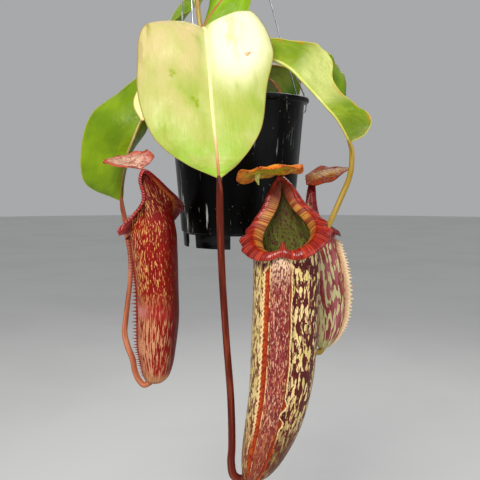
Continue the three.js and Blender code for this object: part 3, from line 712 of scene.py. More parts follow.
@dataclass
class NurseryPot:
    """Five inch nursery pot with a rolled rim, a stepped foot, drain holes and three wire holes."""

    rim_radius: float = 65.0
    wall_top: float = 60.5
    rim_height: float = 6.0
    height: float = 132.5
    foot_radius: float = 48.5
    foot_height: float = 12.8
    foot_step: float = 1.6
    wall: float = 1.9
    # Notches in the foot: how many, their width, depth and height, and the first one's turn in degrees.
    notches: int = 6
    notch: Row = (16, 12, 23)
    first_notch: float = 3.0
    drains: int = 5
    drain_radius: float = 5.0
    drain_ring: float = 28.0
    # Where each wire goes through the wall, in degrees from the front.
    wire_holes: tuple[tuple[str, float], ...] = (("right", 105), ("front", -36), ("back", -120))
    hole_radius: float = 1.5
    hole_level: float = -11.5
    cut_depth: float = 12.0
    columns: int = 180
    sharp_edge: float = 32.0

    @property
    def ledge(self) -> float:
        """Level of the step above the foot."""
        return -(self.height - self.foot_height)

    def inner_radius(self, level: Points) -> Points:
        """Radius of the inside.

        Args:
            level: The level, 0 at the top of the rim.

        Returns:
            The radius there.
        """
        top = self.wall_top - self.wall
        bottom = self.foot_radius + self.foot_step - self.wall
        share = (-self.rim_height - level) / (self.height - self.foot_height - self.rim_height)
        return top + (bottom - top) * share

    def profile(self) -> Points:
        """Outline of half of the pot.

        Returns:
            Radius and level of each point, from the middle of the floor over the rim to the middle below.
        """
        rim, top, foot = self.rim_radius, self.wall_top, self.foot_radius
        ledge, base = self.ledge, -self.height
        floor = [[0, ledge + 0.2], [18, ledge + 0.2], [36, ledge + 0.6], [45, ledge + 1.2]]
        levels = (ledge + 4, -100, -80, -60, -40, -20, -6.5)
        inside = [[self.inner_radius(level), level] for level in levels]
        lip = [[top - 1.7, -2.6], [top - 1.5, -1.2], [top - 1, -0.4], [top - 0.3, 0]]
        roll = [
            [rim - 2, 0], [rim - 1, -0.3], [rim - 0.3, -1], [rim, -2.4], [rim - 0.2, -3.7], [rim - 0.9, -4.6],
            [rim - 1.8, -4.9], [top + 0.9, -5.1], [top + 0.3, -5.6], [top, -7],
        ]
        taper = (foot + 2.2 - top) / (ledge + 7.8)
        wall = [[top + taper * (level + 7), level] for level in (-30, -55, -80, -100, -112)]
        step = [[foot + 2.3, ledge + 1.6], [foot + 2, ledge + 0.5]]
        step += [[foot + 1.2, ledge], [foot + 0.9, ledge - 0.5]]
        edge = [[foot, base + 0.6], [foot - 0.4, base], [foot - 1.8, base], [foot - 2, base + 0.4]]
        under = [[foot - 1.1, ledge - 0.9], [foot - 2, ledge - 0.2], [24, ledge - 0.2], [0, ledge - 0.2]]
        return np.array(floor + inside + lip + roll + wall + step + edge + under, float)

    def cutter(self) -> Piece:
        """Makes the bodies of all the notches and holes.

        Returns:
            One object to subtract.
        """
        parts = []
        for i in range(self.notches):
            piece = add_primitive("cube", f"notch_{i}", size=1)
            at = vertices_of(piece) * self.notch + [0, -self.foot_radius, -self.height]
            settle(piece, turned(at, np.radians(self.first_notch + 360 / self.notches * i)))
            parts.append(piece)
        for i in range(self.drains):
            sizes = {"vertices": 24, "radius": self.drain_radius, "depth": self.cut_depth}
            piece = add_primitive("cylinder", f"drain_{i}", **sizes)
            at = vertices_of(piece) + [0, self.drain_ring, self.ledge]
            settle(piece, turned(at, -TURN * (i + 0.5) / self.drains))
            parts.append(piece)
        for i, (_, azimuth) in enumerate(self.wire_holes):
            sizes = {"vertices": 20, "radius": self.hole_radius, "depth": self.cut_depth}
            piece = add_primitive("cylinder", f"wire_hole_{i}", **sizes)
            at = vertices_of(piece)[:, [0, 2, 1]] + [0, -self.wall_top, self.hole_level]
            settle(piece, turned(at, np.radians(azimuth)))
            parts.append(piece)
        return join(*parts)

    def build(self) -> None:
        """Builds and dresses the pot."""
        profile = self.profile()
        pot, share, row = new_skin("nursery_pot", self.columns, len(profile) - 1)
        radius, level = profile[row].T
        settle(pot, round_axis(radius, share, level))
        cutter = self.cutter()
        apply_modifier(pot, "BOOLEAN", object=cutter, operation="DIFFERENCE", solver="EXACT")
        bpy.data.objects.remove(cutter)
        face_out(pot)
        select_only(pot)
        bpy.ops.object.shade_smooth_by_angle(angle=np.radians(self.sharp_edge))
        paint(pot, height=vertices_of(pot)[:, 2] / MILLIMETRE - HOOK_SHIFT[2])
        hand_over(pot, POT_PLASTIC, "pot")


@dataclass
class PottingMix:
    """Mound of bark and coir in the pot, with loose chips on it."""

    pot: NurseryPot
    edge_level: float = -14.5
    mound: float = 22.0
    floor_gap: float = 2.6
    wall_gap: float = 0.4
    columns: int = 120
    rows: int = 48
    chips: int = 90
    seed: int = 7
    # Least length, width and height of a chip, and how much more each may be.
    chip_sizes: tuple[Row, ...] = ((6, 6), (3.5, 3), (2, 2))
    # Planes in which a chip is turned, and the most that it turns in each, in radians.
    chip_turns: tuple[Row, ...] = ((0, 1, np.pi), (1, 2, 0.5), (0, 2, 0.5))

    def level(self, radius: Points, angle: Points) -> Points:
        """Height of the mound's lumpy surface.

        Args:
            radius: Distance from the pot's axis.
            angle: Angle round it.

        Returns:
            The level there.
        """
        share = np.minimum(radius / self.pot.inner_radius(self.edge_level), 1)
        lumps = np.sin(angle * 5 + radius * 0.31) * np.cos(angle * 3 - radius * 0.23)
        fine = 0.5 * np.sin(radius * 1.1 + 3 * np.sin(angle * 7)) * np.sin(angle * 13) * share
        return self.edge_level + self.mound * (1 - share * share) + 0.9 * lumps * share * (1.4 - share) + fine

    def chip(self, name: str, dice: np.random.Generator) -> Piece:
        """Makes one broken, bevelled chip.

        Args:
            name: The chip's name.
            dice: The random numbers.

        Returns:
            The chip, lying on the mound.
        """
        piece = add_primitive("cube", name, size=1)
        apply_modifier(piece, "BEVEL", width=0.14, segments=1)
        at = vertices_of(piece) * (1 + 0.2 * dice.standard_normal((len(piece.data.vertices), 1)))
        at = at * [least + more * dice.random() for least, more in self.chip_sizes]
        for first, second, most in self.chip_turns:
            at = turned(at, (dice.random() * 2 - 1) * most, first, second)
        radius = 8 + 44 * np.sqrt(dice.random())
        angle = dice.random() * TURN
        up = self.level(radius, angle) + 0.6
        settle(piece, at + [radius * np.cos(angle), radius * np.sin(angle), up])
        return piece

    def build(self) -> None:
        """Builds and dresses the mound and its chips."""
        edge = self.pot.inner_radius(self.edge_level) - self.wall_gap
        floor = self.pot.ledge + self.floor_gap
        mound, share, row = new_skin("potting_mound", self.columns, self.rows + 2)
        on_top = row <= self.rows
        radius = np.where(on_top, edge * row / self.rows, self.pot.inner_radius(floor) - self.wall_gap)
        radius = np.where(row == self.rows + 2, 0, radius)
        level = np.where(on_top, self.level(radius, share * TURN), floor)
        settle(mound, round_axis(radius, share, level))
        hand_over(mound, MIX_BARK, "potting_mix")
        dice = np.random.default_rng(self.seed)
        chips = join(*[self.chip(f"chip_{i}", dice) for i in range(self.chips)])
        chips.name = "bark_chips"
        chips.data.shade_flat()
        hand_over(chips, MIX_BARK, "potting_mix")


# Shoot and leaves

# Living stem: fibrous olive to orange-brown skin with darker rings where leaves were.
STEM_SKIN = Finish(
    "fibrous_green_stem",
    "#b58a45",
    (
        layer("#c9b55a", 0.8, clouds(0.45, 0.6, (3, 3, 18))),
        layer("#8a4f24", 0.6, painted("along", 0.45, 0.1)),
        layer("#7a3a1c", 0.7, clouds(0.56, 0.66, (1.2, 1.2, 14), 3, 2)),
    ),
    (relief(0.25, (0.9, 0.9, 12), 3),),
    roughness=0.45,
    flesh=0.1,
    follows="grain",
)

# Rolled young leaf: soft, pale green, with a bronze point.
YOUNG_SKIN = Finish(
    "soft_young_leaf",
    "#9fc050",
    (layer("#c8d880", 0.8, clouds(0.42, 0.6, (2, 2, 16))), layer("#a8622c", 0.8, painted("along", 0.75, 1))),
    (relief(0.25, (0.8, 0.8, 14)),),
    roughness=0.4,
    flesh=0.2,
    follows="grain",
)


@dataclass
class Stem:
    """Leaning shoot with a rolled young leaf at its top."""

    route: tuple[Row, ...] = (
        (-4, 5, -60, 2.8), (-6, 5, -30, 2.8), (-8, 5, -6, 2.7), (-15, 5, 14, 2.5), (-24, 4.5, 38, 2.4),
        (-32, 4.5, 60, 2.2), (-35.5, 5, 84, 2.1), (-37, 6, 112, 1.9), (-37, 6, 128, 1.5),
    )
    tip: tuple[Row, ...] = (
        (-37, 6, 126, 1.3), (-36.9, 6.1, 131, 2), (-36.6, 6.4, 138, 3), (-35.6, 7, 152, 3.4),
        (-34, 8, 166, 2.3), (-32, 9.4, 178, 0.7),
    )
    ring_heights: Row = (11, 14, 20, 26, 42, 64, 84)
    ring_swell: float = 0.35
    ring_width: float = 1.6
    # Length of one winding of the rolled leaf, how far its margin stands out, and how far it sinks in.
    winding: float = 46.0
    margin_step: float = 0.22
    margin_sink: float = 0.18

    def at(self, height: float) -> tuple[Points, float]:
        """Middle and radius of the stem at a height.

        Args:
            height: The height over the rim.

        Returns:
            The point and the radius there.
        """
        points, radii = route_of(self.route, 200)
        nearest = int(np.argmin(np.abs(points[:, 2] - height)))
        return points[nearest], float(radii[nearest])

    def build(self) -> None:
        """Builds and dresses the stem and the young leaf."""
        points, radii = route_of(self.route, 160)
        for height in self.ring_heights:
            radii = radii + self.ring_swell * hump(points[:, 2] - height, self.ring_width)
        hand_over(new_tube("leaning_stem", points, radii, 28), STEM_SKIN, "stem")
        points, radii = route_of(self.tip, 90)
        leaf = new_tube("rolled_leaf", points, radii, 48)
        self._roll(leaf, points)
        hand_over(leaf, YOUNG_SKIN, "young_leaf")

    def _roll(self, leaf: Piece, middle: Points) -> None:
        """Winds the margin of the rolled leaf round it as a shallow step.

        Args:
            leaf: The rolled leaf's tube.
            middle: The tube's middle line.
        """
        flat = np.zeros(len(leaf.data.vertices) * 3, np.float32)
        leaf.data.attributes["grain"].data.foreach_get("vector", flat)
        grain = flat.reshape(-1, 3) / MILLIMETRE
        angle = np.arctan2(grain[:, 1], grain[:, 0])
        share = np.mod(angle / TURN + grain[:, 2] / self.winding, 1)
        at = vertices_of(leaf) / MILLIMETRE - HOOK_SHIFT
        nearest = np.argmin(np.abs(at[:, 2][:, None] - middle[:, 2][None]), axis=1)
        outward = at - middle[nearest]
        settle(leaf, at + outward * (self.margin_step * share - self.margin_sink)[:, None])


@dataclass(frozen=True)
class LeafShape:
    """One leaf: where it grows, its waves' height and number, its midrib, its margins and its marks."""

    height: float
    wave: tuple[float, float]
    rib_width: float
    rib: tuple[Row, ...]
    left: tuple[Row, ...]
    right: tuple[Row, ...]
    spots: tuple[Row, ...] = ()
    scars: tuple[Row, ...] = ()


LEAF_SHAPES = {
    "leaf_front": LeafShape(
        42, (1.2, 3.5), 2.3,
        ((-29, -42, 53.5), (-26, -50, 51), (-24.5, -58, 40), (-22, -70, 14), (-20, -84, -10), (-17, -97, -37),
         (-14.8, -104, -58), (-13.6, -106, -71)),
        ((-33, -44, 54), (-58, -50, 59), (-77, -57, 52), (-80.7, -70, 20), (-77, -86, -13), (-64, -99, -40),
         (-41, -105, -59), (-15, -106, -70.6)),
        ((-25, -44, 55), (-3, -38, 67), (14, -35, 69), (30, -50, 37), (24.5, -68, 3), (19, -90, -33),
         (4, -102, -57), (-12.2, -106, -70.8)),
        ((8.5, 29.8, 2.3), (11.2, 31.4, 1.5)),
        ((-52.8, 14.6, 2), (-50, 13, 2.4), (-52.4, 9.8, 2), (-34.8, -8, 2), (-32, -10, 2.6), (-31, -14, 2.2)),
    ),
    "leaf_right": LeafShape(
        26, (1.3, 4), 1.7,
        ((2, -14, 36), (31, -30, 30), (45, -37, 22), (55, -41, 12), (63, -44, 3), (70, -46, -5),
         (77, -47, -13), (84, -48, -21), (90, -49, -31), (95, -50, -41)),
        ((4, -12, 46), (28, -19, 51), (52, -32, 45), (70, -42, 41), (79, -46, 30), (81, -48, 9),
         (100, -48, -8), (112, -49, -21), (110, -50, -33), (97, -50, -40.8)),
        ((4, -4, 42), (30, -14, 40), (52, -16, 34), (68, -14, 37), (80, -12, 38), (88, -14, 30),
         (93, -20, 18), (94, -26, 6), (92, -36, -14), (93.5, -49, -40.6)),
    ),
    "leaf_left": LeafShape(
        20, (1, 4), 1.7,
        ((-43, -14, 28), (-64, -28, 12), (-77, -36, -12), (-86, -38, -31), (-95, -32, -51), (-101, -24, -73),
         (-103, -20, -91)),
        ((-48, -6, 38), (-79, -16, 22), (-106, -20, 2), (-128, -20, -16), (-138, -18, -46),
         (-134.5, -18, -76), (-104.5, -20, -91.2)),
        ((-38, -10, 22), (-57, -22, 9), (-72, -24, -11), (-80, -21, -30), (-93.5, -16, -49), (-100, -18, -72),
         (-101.5, -19.5, -91.2)),
    ),
    "leaf_upper_right": LeafShape(
        64, (1.2, 3), 1.3,
        ((-24, 9, 76), (-12, 14, 92), (0, 24, 110), (12, 34, 124), (22, 42, 130), (30, 46, 128)),
        ((-10, 6, 64), (8, 9, 74), (13, 16, 92), (18, 28, 112), (24, 38, 124), (30.6, 45.4, 126.8)),
        ((-26, 17, 84), (-22, 28, 108), (-12, 36, 126), (4, 44, 138), (18, 48, 138), (29.4, 46.8, 129.4)),
        ((-10.5, 80, 2.4),),
    ),
    "leaf_upper_left": LeafShape(
        84, (1.2, 3), 1.3,
        ((-41, 24, 93), (-49, 42, 96), (-60, 58, 88), (-71, 70, 72), (-80, 78, 50)),
        ((-48, 34, 82), (-64, 44, 76), (-78, 52, 66), (-86, 62, 54), (-81.2, 77, 49)),
        ((-28, 30, 100), (-30, 54, 108), (-44, 74, 98), (-60, 82, 78), (-78.8, 79, 50.6)),
    ),
    "leaf_back": LeafShape(
        14, (1, 3), 1.9,
        ((4, 22, 24), (25, 38, 25), (40, 56, 15), (46, 73, -4), (48, 86, -32), (46.5, 90, -60)),
        ((14, 14, 32), (40, 28, 33), (61, 50, 24), (60, 68, 2), (58, 84, -28), (48, 89.6, -59.6)),
        ((-8, 32, 30), (6, 54, 30), (18, 72, 16), (26, 84, -6), (34, 92, -34), (45, 90.6, -59.4)),
    ),
    "leaf_low_left": LeafShape(
        11, (0.8, 2), 1.1,
        ((-34, -22, 20), (-52, -40, 18), (-66, -52, 8), (-75, -58, -8), (-78, -62, -24)),
        ((-40, -14, 30), (-64, -30, 26), (-80, -46, 8), (-86, -56, -10), (-79, -62, -23.6)),
        ((-28, -28, 14), (-42, -48, 8), (-56, -58, -4), (-68, -62, -18), (-77, -62.6, -23.8)),
    ),
}


def leaf_finish(name: str, ground: str, light: str, dark: str, margin: str, *extra: Layer) -> Finish:
    """Waxy leaf: a satin skin with soft mottling, faint long veins, a coloured margin and marks.

    Args:
        name: The material's name.
        ground: The blade's own green.
        light: Colour of its paler patches.
        dark: Colour of its deeper patches.
        margin: Colour of the thin edge.
        *extra: Layers of this leaf alone.

    Returns:
        The finish.
    """
    layers = (
        layer(light, 0.8, clouds(0.44, 0.7, (30, 34, 30))),
        layer(dark, 0.6, clouds(0.46, 0.7, (22, 30, 20), 3, 4)),
        layer(light, 0.45, painted("rib", 9, 1)),
        layer(dark, 0.12, clouds(0.52, 0.62, (1.3, 45, 3), 2, 2)),
        *extra,
        layer(margin, 0.9, painted("margin", 1.2, 0.3)),
    )
    reliefs = (relief(0.07, (1.3, 50, 3)), relief(0.6, (11, 14, 9), 2, 1), relief(0.03, 0.8, 2, 1))
    return Finish(
        name, ground, layers, reliefs, roughness=0.36, dull=clouds(0.4, 0.7, 16), flesh=0.08, specular=0.2,
        follows="blade",
    )


LEAF_FINISHES = {
    # A painted sunlit highlight, near white, over its far half; bronzed at its near shoulder, with a brown
    # spot and two scars.
    "leaf_front": leaf_finish(
        "waxy_lime_leaf", "#a8b250", "#c4c87c", "#90a836", "#b49650",
        layer(
            "#d9bd90", 0.9, painted("along", 0.66, 0.36), painted("side", 0.1, -0.4),
            clouds(0.25, 0.6, (22, 22, 14), 3, 7),
        ),
        layer(
            "#c4b878", 0.6, painted("along", 0.84, 0.66), painted("side", 0, -0.3),
            clouds(0.35, 0.62, (22, 30, 14), 3, 2),
        ),
        layer(
            "#8a7434", 0.7, painted("along", 0.62, 0.3), painted("margin", 12, 1),
            clouds(0.45, 0.6, (6, 14, 9), 3, 1),
        ),
        # Painted highlight: the near-white patch where the sun's glare falls on the far half.
        layer("#fbf7cc", 0.95, painted("bleach", 0.18, 0.75), clouds(0.2, 0.5, (18, 30, 18), 3, 3)),
        layer("#93bd33", 0.75, painted("along", 0.6, 0.98), clouds(0.3, 0.6, 16, 2, 5)),
        layer("#8c9c10", 0.8, painted("scar", 0.3, 0.7), clouds(0.35, 0.48, 2.4, 2, 1)),
        layer("#bc6c1c", 0.85, painted("spot", 0.35, 0.7), clouds(0.3, 0.5, 1.6)),
    ),
    "leaf_right": leaf_finish(
        "waxy_spring_leaf", "#748e08", "#9cb032", "#5c7c06", "#c8c04a",
        # Painted highlight: a paler yellow patch on the near half, where the light falls.
        layer(
            "#dfe28c", 0.55, painted("along", 0.3, 0.42), painted("along", 0.72, 0.6),
            painted("side", 0.1, -0.15),
        ),
        layer("#5c7410", 0.85, painted("along", 0.72, 0.86)),
        # Painted shade: the far half of the blade darker.
        layer("#56780a", 0.7, painted("side", 0.1, 0.5)),
        layer("#b8561c", 0.85, cells(0.2, 0.1, 3.2), clouds(0.5, 0.6, 24, 2, 6)),
        layer("#c4761e", 0.6, painted("margin", 5, 1), clouds(0.48, 0.6, (4, 9, 4), 2, 3)),
    ),
    "leaf_left": leaf_finish("waxy_deep_green_leaf", "#6e8c0a", "#86a414", "#567806", "#c0b83a"),
    "leaf_upper_right": leaf_finish("waxy_bright_green_leaf", "#7ca20c", "#94b828", "#628a0a", "#a8a030"),
    "leaf_upper_left": leaf_finish("waxy_mid_green_leaf", "#7a9e14", "#92b430", "#60860c", "#a8a030"),
    "leaf_back": leaf_finish(
        "waxy_dark_green_leaf", "#466e10", "#628820", "#345c0a", "#b07a2c",
        layer("#8c9a24", 0.9, painted("along", 0.62, 0.42), clouds(0.2, 0.5, (14, 20, 14))),
    ),
    "leaf_low_left": leaf_finish("waxy_pale_leaf", "#f0eea0", "#fdfabc", "#d4dc7a", "#c89a50"),
}


def rib_finish(name: str, ground: str, tip: str) -> Finish:
    """Midrib: a smooth fibre in its leaf's own tone, which turns to the tendril's towards the tip.

    Args:
        name: The material's name.
        ground: Its colour.
        tip: Its colour at the leaf's tip.

    Returns:
        The finish.
    """
    layers = (
        layer("#fff6cc", 0.4, clouds(0.5, 0.65, (2, 2, 20))),
        layer(tip, 0.95, painted("along", 0.72, 1)),
    )
    reliefs = (relief(0.12, (0.7, 0.7, 12)),)
    return Finish(name, ground, layers, reliefs, roughness=0.4, flesh=0.1, follows="grain")


RIB_FINISHES = {
    "leaf_front": rib_finish("cream_midrib", "#efe3a0", "#b5622a"),
    "leaf_right": rib_finish("yellow_green_midrib", "#c9d060", "#b8a440"),
    "leaf_left": rib_finish("brown_midrib", "#9c8a24", "#8c5a1c"),
    "leaf_upper_right": rib_finish("red_brown_midrib", "#ac6a1e", "#a05a20"),
    "leaf_upper_left": rib_finish("green_midrib", "#a8b038", "#a06a20"),
    "leaf_back": rib_finish("rust_midrib", "#b85c1c", "#8c4418"),
    "leaf_low_left": rib_finish("pale_midrib", "#e6dc80", "#c09a4c"),
}


@dataclass
class Leaf:
    """One leaf blade with its midrib, growing from the stem."""

    name: str
    shape: LeafShape
    stem: Stem
    thickness: float = 0.9
    # Half of the width at the stem, and how far its middle stands off the stem's skin.
    petiole: float = 1.7
    stand_off: float = 0.85
    # How far the right margin's waves run ahead of the left one's, in radians.
    wave_lead: float = 1.7
    # Half width from which the waves have their full height.
    full_width: float = 20.0
    crimp: float = 0.35
    crimp_rate: float = 3.3
    belly: float = 0.1
    rib_taper: float = 0.42

    def __post_init__(self) -> None:
        """Works out the three curves that the blade hangs on."""
        shape = self.shape
        rib, left, right = (np.array(line, float) for line in (shape.rib, shape.left, shape.right))
        point, radius = self.stem.at(shape.height)
        outward = unit((rib[0] - point) * LEVEL)
        centre = np.array([point[0], point[1], shape.height]) + outward * (radius + self.stand_off)
        across = (left[0] - right[0]) * LEVEL
        across = unit(across - outward * np.dot(across, outward)) * self.petiole
        self.rib = np.vstack([centre, rib])
        self.margins = (np.vstack([centre + across, left]), np.vstack([centre - across, right]))

    def surface(self, u: Points, v: Points) -> tuple[Points, Points]:
        """The middle of the blade.

        Args:
            u: Share from the stem to the tip.
            v: Share from the left margin at -1 to the right one at 1.

        Returns:
            Its points and the half width there.
        """
        middle = smooth(self.rib, u)
        left, right = (smooth(margin, u) for margin in self.margins)
        margin = np.where((v < 0)[:, None], left, right)
        width = np.linalg.norm(margin - middle, axis=1)
        normal = unit(np.cross(heading(self.rib, u), right - left))
        side = np.abs(v)
        height, waves = self.shape.wave
        turn = u * waves * TURN + by_side(v, (0, self.wave_lead))
        reach = np.minimum(width / self.full_width, 1)
        wave = height * v * v * np.sin(turn) * reach
        crimp = self.crimp * side**3 * np.sin(turn * self.crimp_rate + 1) * reach
        belly = width * self.belly * side * (1 - side) * 4
        return middle + (margin - middle) * side[:, None] + normal * (wave + crimp + belly)[:, None], width

    def marks(self, points: Points, places: tuple[Row, ...]) -> Points:
        """Soft round marks on the blade, as they are seen from the front.

        Args:
            points: The blade's points.
            places: [x, z, size] of each mark.

        Returns:
            1 in the middle of a mark and 0 far from all of them.
        """
        mark = np.zeros(len(points))
        for x, z, size in places:
            mark = np.maximum(mark, hump(np.hypot(points[:, 0] - x, points[:, 2] - z), size))
        return mark

    def build(self) -> None:
        """Builds and dresses the blade and its midrib."""
        blade, u, v = new_sheet(f"{self.name}_blade", 80, 130)
        points, width = self.surface(u, v)
        settle(blade, points)
        length = lengths_along(smooth(self.rib, np.linspace(0, 1, 60)))[-1]
        paint(
            blade,
            along=u,
            side=v,
            margin=np.minimum((1 - np.abs(v)) * width, (1 - u) * length + 0.5),
            blade=np.stack([v * width, u * length, 0 * u], axis=1),
            # Where the painted sunlit highlight lies on the far half.
            bleach=hump(u - 0.4, 0.22) * hump(v - 0.5, 0.55),
            rib=np.abs(v) * width,
            spot=self.marks(points, self.shape.spots),
            scar=self.marks(points, self.shape.scars),
        )
        thicken(blade, self.thickness)
        hand_over(blade, LEAF_FINISHES[self.name], self.name)
        self.build_rib()

    def build_rib(self) -> None:
        """Builds and dresses the midrib, a tapering ridge that stands out on both faces."""
        shares = np.linspace(0, 1, 120)
        middle, _ = self.surface(shares, 0 * shares)
        radii = self.shape.rib_width * (1 - self.rib_taper * shares)
        rib = new_tube(f"{self.name}_midrib", middle, radii, 18)
        hand_over(rib, RIB_FINISHES[self.name], self.name)


# Tendrils


def tendril_finish(name: str, ground: str, light: str, dark: str, bud: str = "") -> Finish:
    """Smooth woody tendril with fine long streaks.

    Args:
        name: The material's name.
        ground: Its colour.
        light: Colour of the streaks that catch the light.
        dark: Colour of the shaded streaks.
        bud: Colour of the swollen end, or none.

    Returns:
        The finish.
    """
    layers = [
        layer(light, 0.6, clouds(0.46, 0.62, (2.4, 2.4, 40), 3)),
        layer(dark, 0.7, clouds(0.52, 0.66, (1.4, 1.4, 26), 3, 3)),
    ]
    if bud:
        layers.append(layer(bud, 1, painted("along", 0.62, 0.85)))
    reliefs = (relief(0.16, (0.8, 0.8, 18), 3),)
    return Finish(
        name, ground, tuple(layers), reliefs, roughness=0.38, flesh=0.02, specular=0.16, follows="grain"
    )


@dataclass(frozen=True)
class TendrilShape:
    """One tendril: the leaf it runs from, its radius there, its finish and its [x, y, z, radius] points."""

    leaf: str
    start: float
    finish: Finish
    route: tuple[Row, ...]


BUD_TENDRIL = tendril_finish("rusty_tendril", "#a86a30", "#c89a58", "#7a3f1c", "#9aa83c")
TENDRIL_SHAPES = {
    "tendril_front": TendrilShape(
        "leaf_front", 1.7, tendril_finish("dark_red_brown_tendril", "#581a0c", "#8a3c24", "#380c06"),
        ((-13.1, -107, -79, 2.5), (-12.8, -107, -103, 2.9), (-11.3, -107, -146, 2.8),
         (-8.1, -106.5, -198, 2.75), (-4.6, -106, -246, 2.9), (-3.8, -106, -284, 3),
         (-4.4, -106, -298, 3.2), (-2.4, -106, -308, 3.4), (3, -105.2, -311.8, 3.6), (10, -105, -310.5, 4.6)),
    ),
    "tendril_left": TendrilShape(
        "leaf_left", 1.6, tendril_finish("pink_brown_tendril", "#a5583a", "#cf8c66", "#803420"),
        ((-102.2, -18.2, -97.6, 2.1), (-100.9, -16, -106, 2.2), (-98.6, -16.5, -123, 2.2),
         (-95.3, -21, -140, 2.1), (-94.4, -27, -157, 2.1), (-95.7, -33, -176, 2.2), (-97.4, -38, -194, 2.4),
         (-98, -42, -206, 2.5), (-95.4, -45, -216, 2.6), (-90.4, -48, -228, 2.7), (-88.6, -49.2, -237, 2.6),
         (-85.2, -49.6, -245.4, 2.6), (-80.6, -49.8, -250, 2.6), (-75.5, -50, -247.5, 3)),
    ),
    "tendril_right": TendrilShape(
        "leaf_right", 1.6, tendril_finish("olive_yellow_tendril", "#9a7c2c", "#b89c48", "#70561a"),
        ((97, -50.6, -47.4, 2.1), (97.1, -51.5, -53, 2.3), (96.4, -54, -62, 2.3), (93.5, -60, -72, 2.3),
         (88.6, -66, -82, 2.3), (79.8, -71, -101, 2.3), (71.6, -72, -119, 2.2), (64, -70, -140, 2.2),
         (59, -66, -166, 2.2), (57, -59, -193, 2.3), (60, -50, -214, 2.4), (72.4, -37.4, -224, 2.7),
         (76, -35, -220, 3)),
    ),
    "tendril_upper_right": TendrilShape(
        "leaf_upper_right", 1.2, BUD_TENDRIL,
        ((35.8, 48.8, 125, 1.8), (41, 51, 112, 2), (48, 55, 106, 2), (56, 59, 107.6, 2.8), (60, 61, 116, 4.8),
         (61, 62, 128, 3.8), (61, 62, 137, 1)),
    ),
    "tendril_upper_left": TendrilShape(
        "leaf_upper_left", 1.2, BUD_TENDRIL,
        ((-82.6, 83, 35, 1.8), (-82, 84, 18, 2), (-78, 85, 2, 2), (-70, 85, -4, 2.8), (-64, 84.6, 3, 5),
         (-62, 84, 16, 4), (-62, 84, 26.6, 1)),
    ),
    "tendril_back": TendrilShape(
        "leaf_back", 1.2, BUD_TENDRIL,
        ((46.8, 91.6, -73, 1.8), (46, 91, -92, 2), (42, 89, -108, 2.1), (34, 85, -116, 3.2),
         (27, 81, -108, 5.4), (25, 79, -92, 4.4), (25, 79, -79.4, 1)),
    ),
}


@dataclass
class Tendril:
    """One tendril from the tip of its leaf, which it starts a little inside of and a little thinner."""

    name: str
    shape: TendrilShape
    leaf: Leaf
    inside: float = 0.985
    thinner: float = 0.9

    def build(self) -> None:
        """Builds and dresses the tendril."""
        tip = smooth(self.leaf.rib, np.array([self.inside]))[0]
        points, radii = route_of(np.vstack([[*tip, self.shape.start * self.thinner], self.shape.route]), 240)
        hand_over(new_tube(f"{self.name}_vine", points, radii, 24), self.shape.finish, self.name)


# Pitchers

# Half of the pattern pitcher's mouth: [sideways, forward, up] from the middle of its front to its neck.
MOUTH = {
    "inner": (
        (0, 19.5, -2), (8, 18.5, -3.5), (15, 12.5, 0), (19, 2.5, 8), (15.2, -5, 20), (6.6, -10, 34),
        (1.8, -13, 45), (0, -15, 52),
    ),
    "crest": (
        (0, 26, -0.5), (10, 27, -0.5), (20, 20, 3), (26, 6, 13), (23.5, -3, 24), (14.6, -9, 38),
        (7.4, -13.5, 51.5), (0, -16, 58.5),
    ),
    "outer": (
        (0, 28, -1.6), (12, 31, -4.2), (25.5, 24, -0.8), (35, 6.5, 9.5), (30, -4, 21), (20.4, -11, 36),
        (11, -16, 51), (0, -19, 62),
    ),
}
PATTERN_RADIUS = 26.0


@dataclass(frozen=True)
class LidShape:
    """One lid over the mouth, in sizes of the pattern pitcher.

    It has a scale, a shift sideways, a forward tilt and a sideways slant. Its dome, and the saddle at its
    hinge, have a value for each side. It may have a gland below, a twisted right half and an ear on the
    left one. Its notch says how the margin runs to the hinge.
    """

    size: float
    shift: float
    tilt: float
    slant: float
    dome: tuple[float, float]
    saddle: tuple[float, float] = (0, 0)
    gland: bool = False
    twist: float = 0
    ear: float = 0
    notch: float = 1.5


@dataclass(frozen=True)
class WingShape:
    """The pair of fringed wings: scale, height of the web and of its hairs, and the hairs' spacing.

    The pair is turned from the pitcher's front and splayed, the left wing first, in degrees. Fineness makes
    the hairs slimmer, and crinkle is how far the right wing is crumpled at one level.
    """

    scale: float
    web: float
    hair: float
    spacing: float
    fineness: float
    turn: float = 0
    crinkle: float = 0
    splay: tuple[float, float] = (26, 26)


@dataclass(frozen=True)
class PitcherShape:
    """One pitcher: its place, its size, its lid, its wings and the [level, x, radius] rings of its body.

    Heading turns it and roll tips its head, in degrees. Lean and skew shift the neck forwards and sideways
    as it rises, neck is how much longer it is, and pinch is how much narrower it is on each side. Curl is
    how far the lip's margin hangs down, and flare and belly are how wide and how deep the lip is on each
    side.
    """

    y: float
    lip_level: float
    heading: float
    roll: float
    radius: float
    ribs: int
    lid: LidShape
    wing: WingShape
    rings: tuple[Row, ...]
    lean: float = 0
    skew: float = 0
    neck: float = 0
    pinch: tuple[float, float] = (0, 0)
    curl: float = 1
    flare: tuple[float, float] = (1, 1)
    belly: tuple[float, float] = (4, 4)


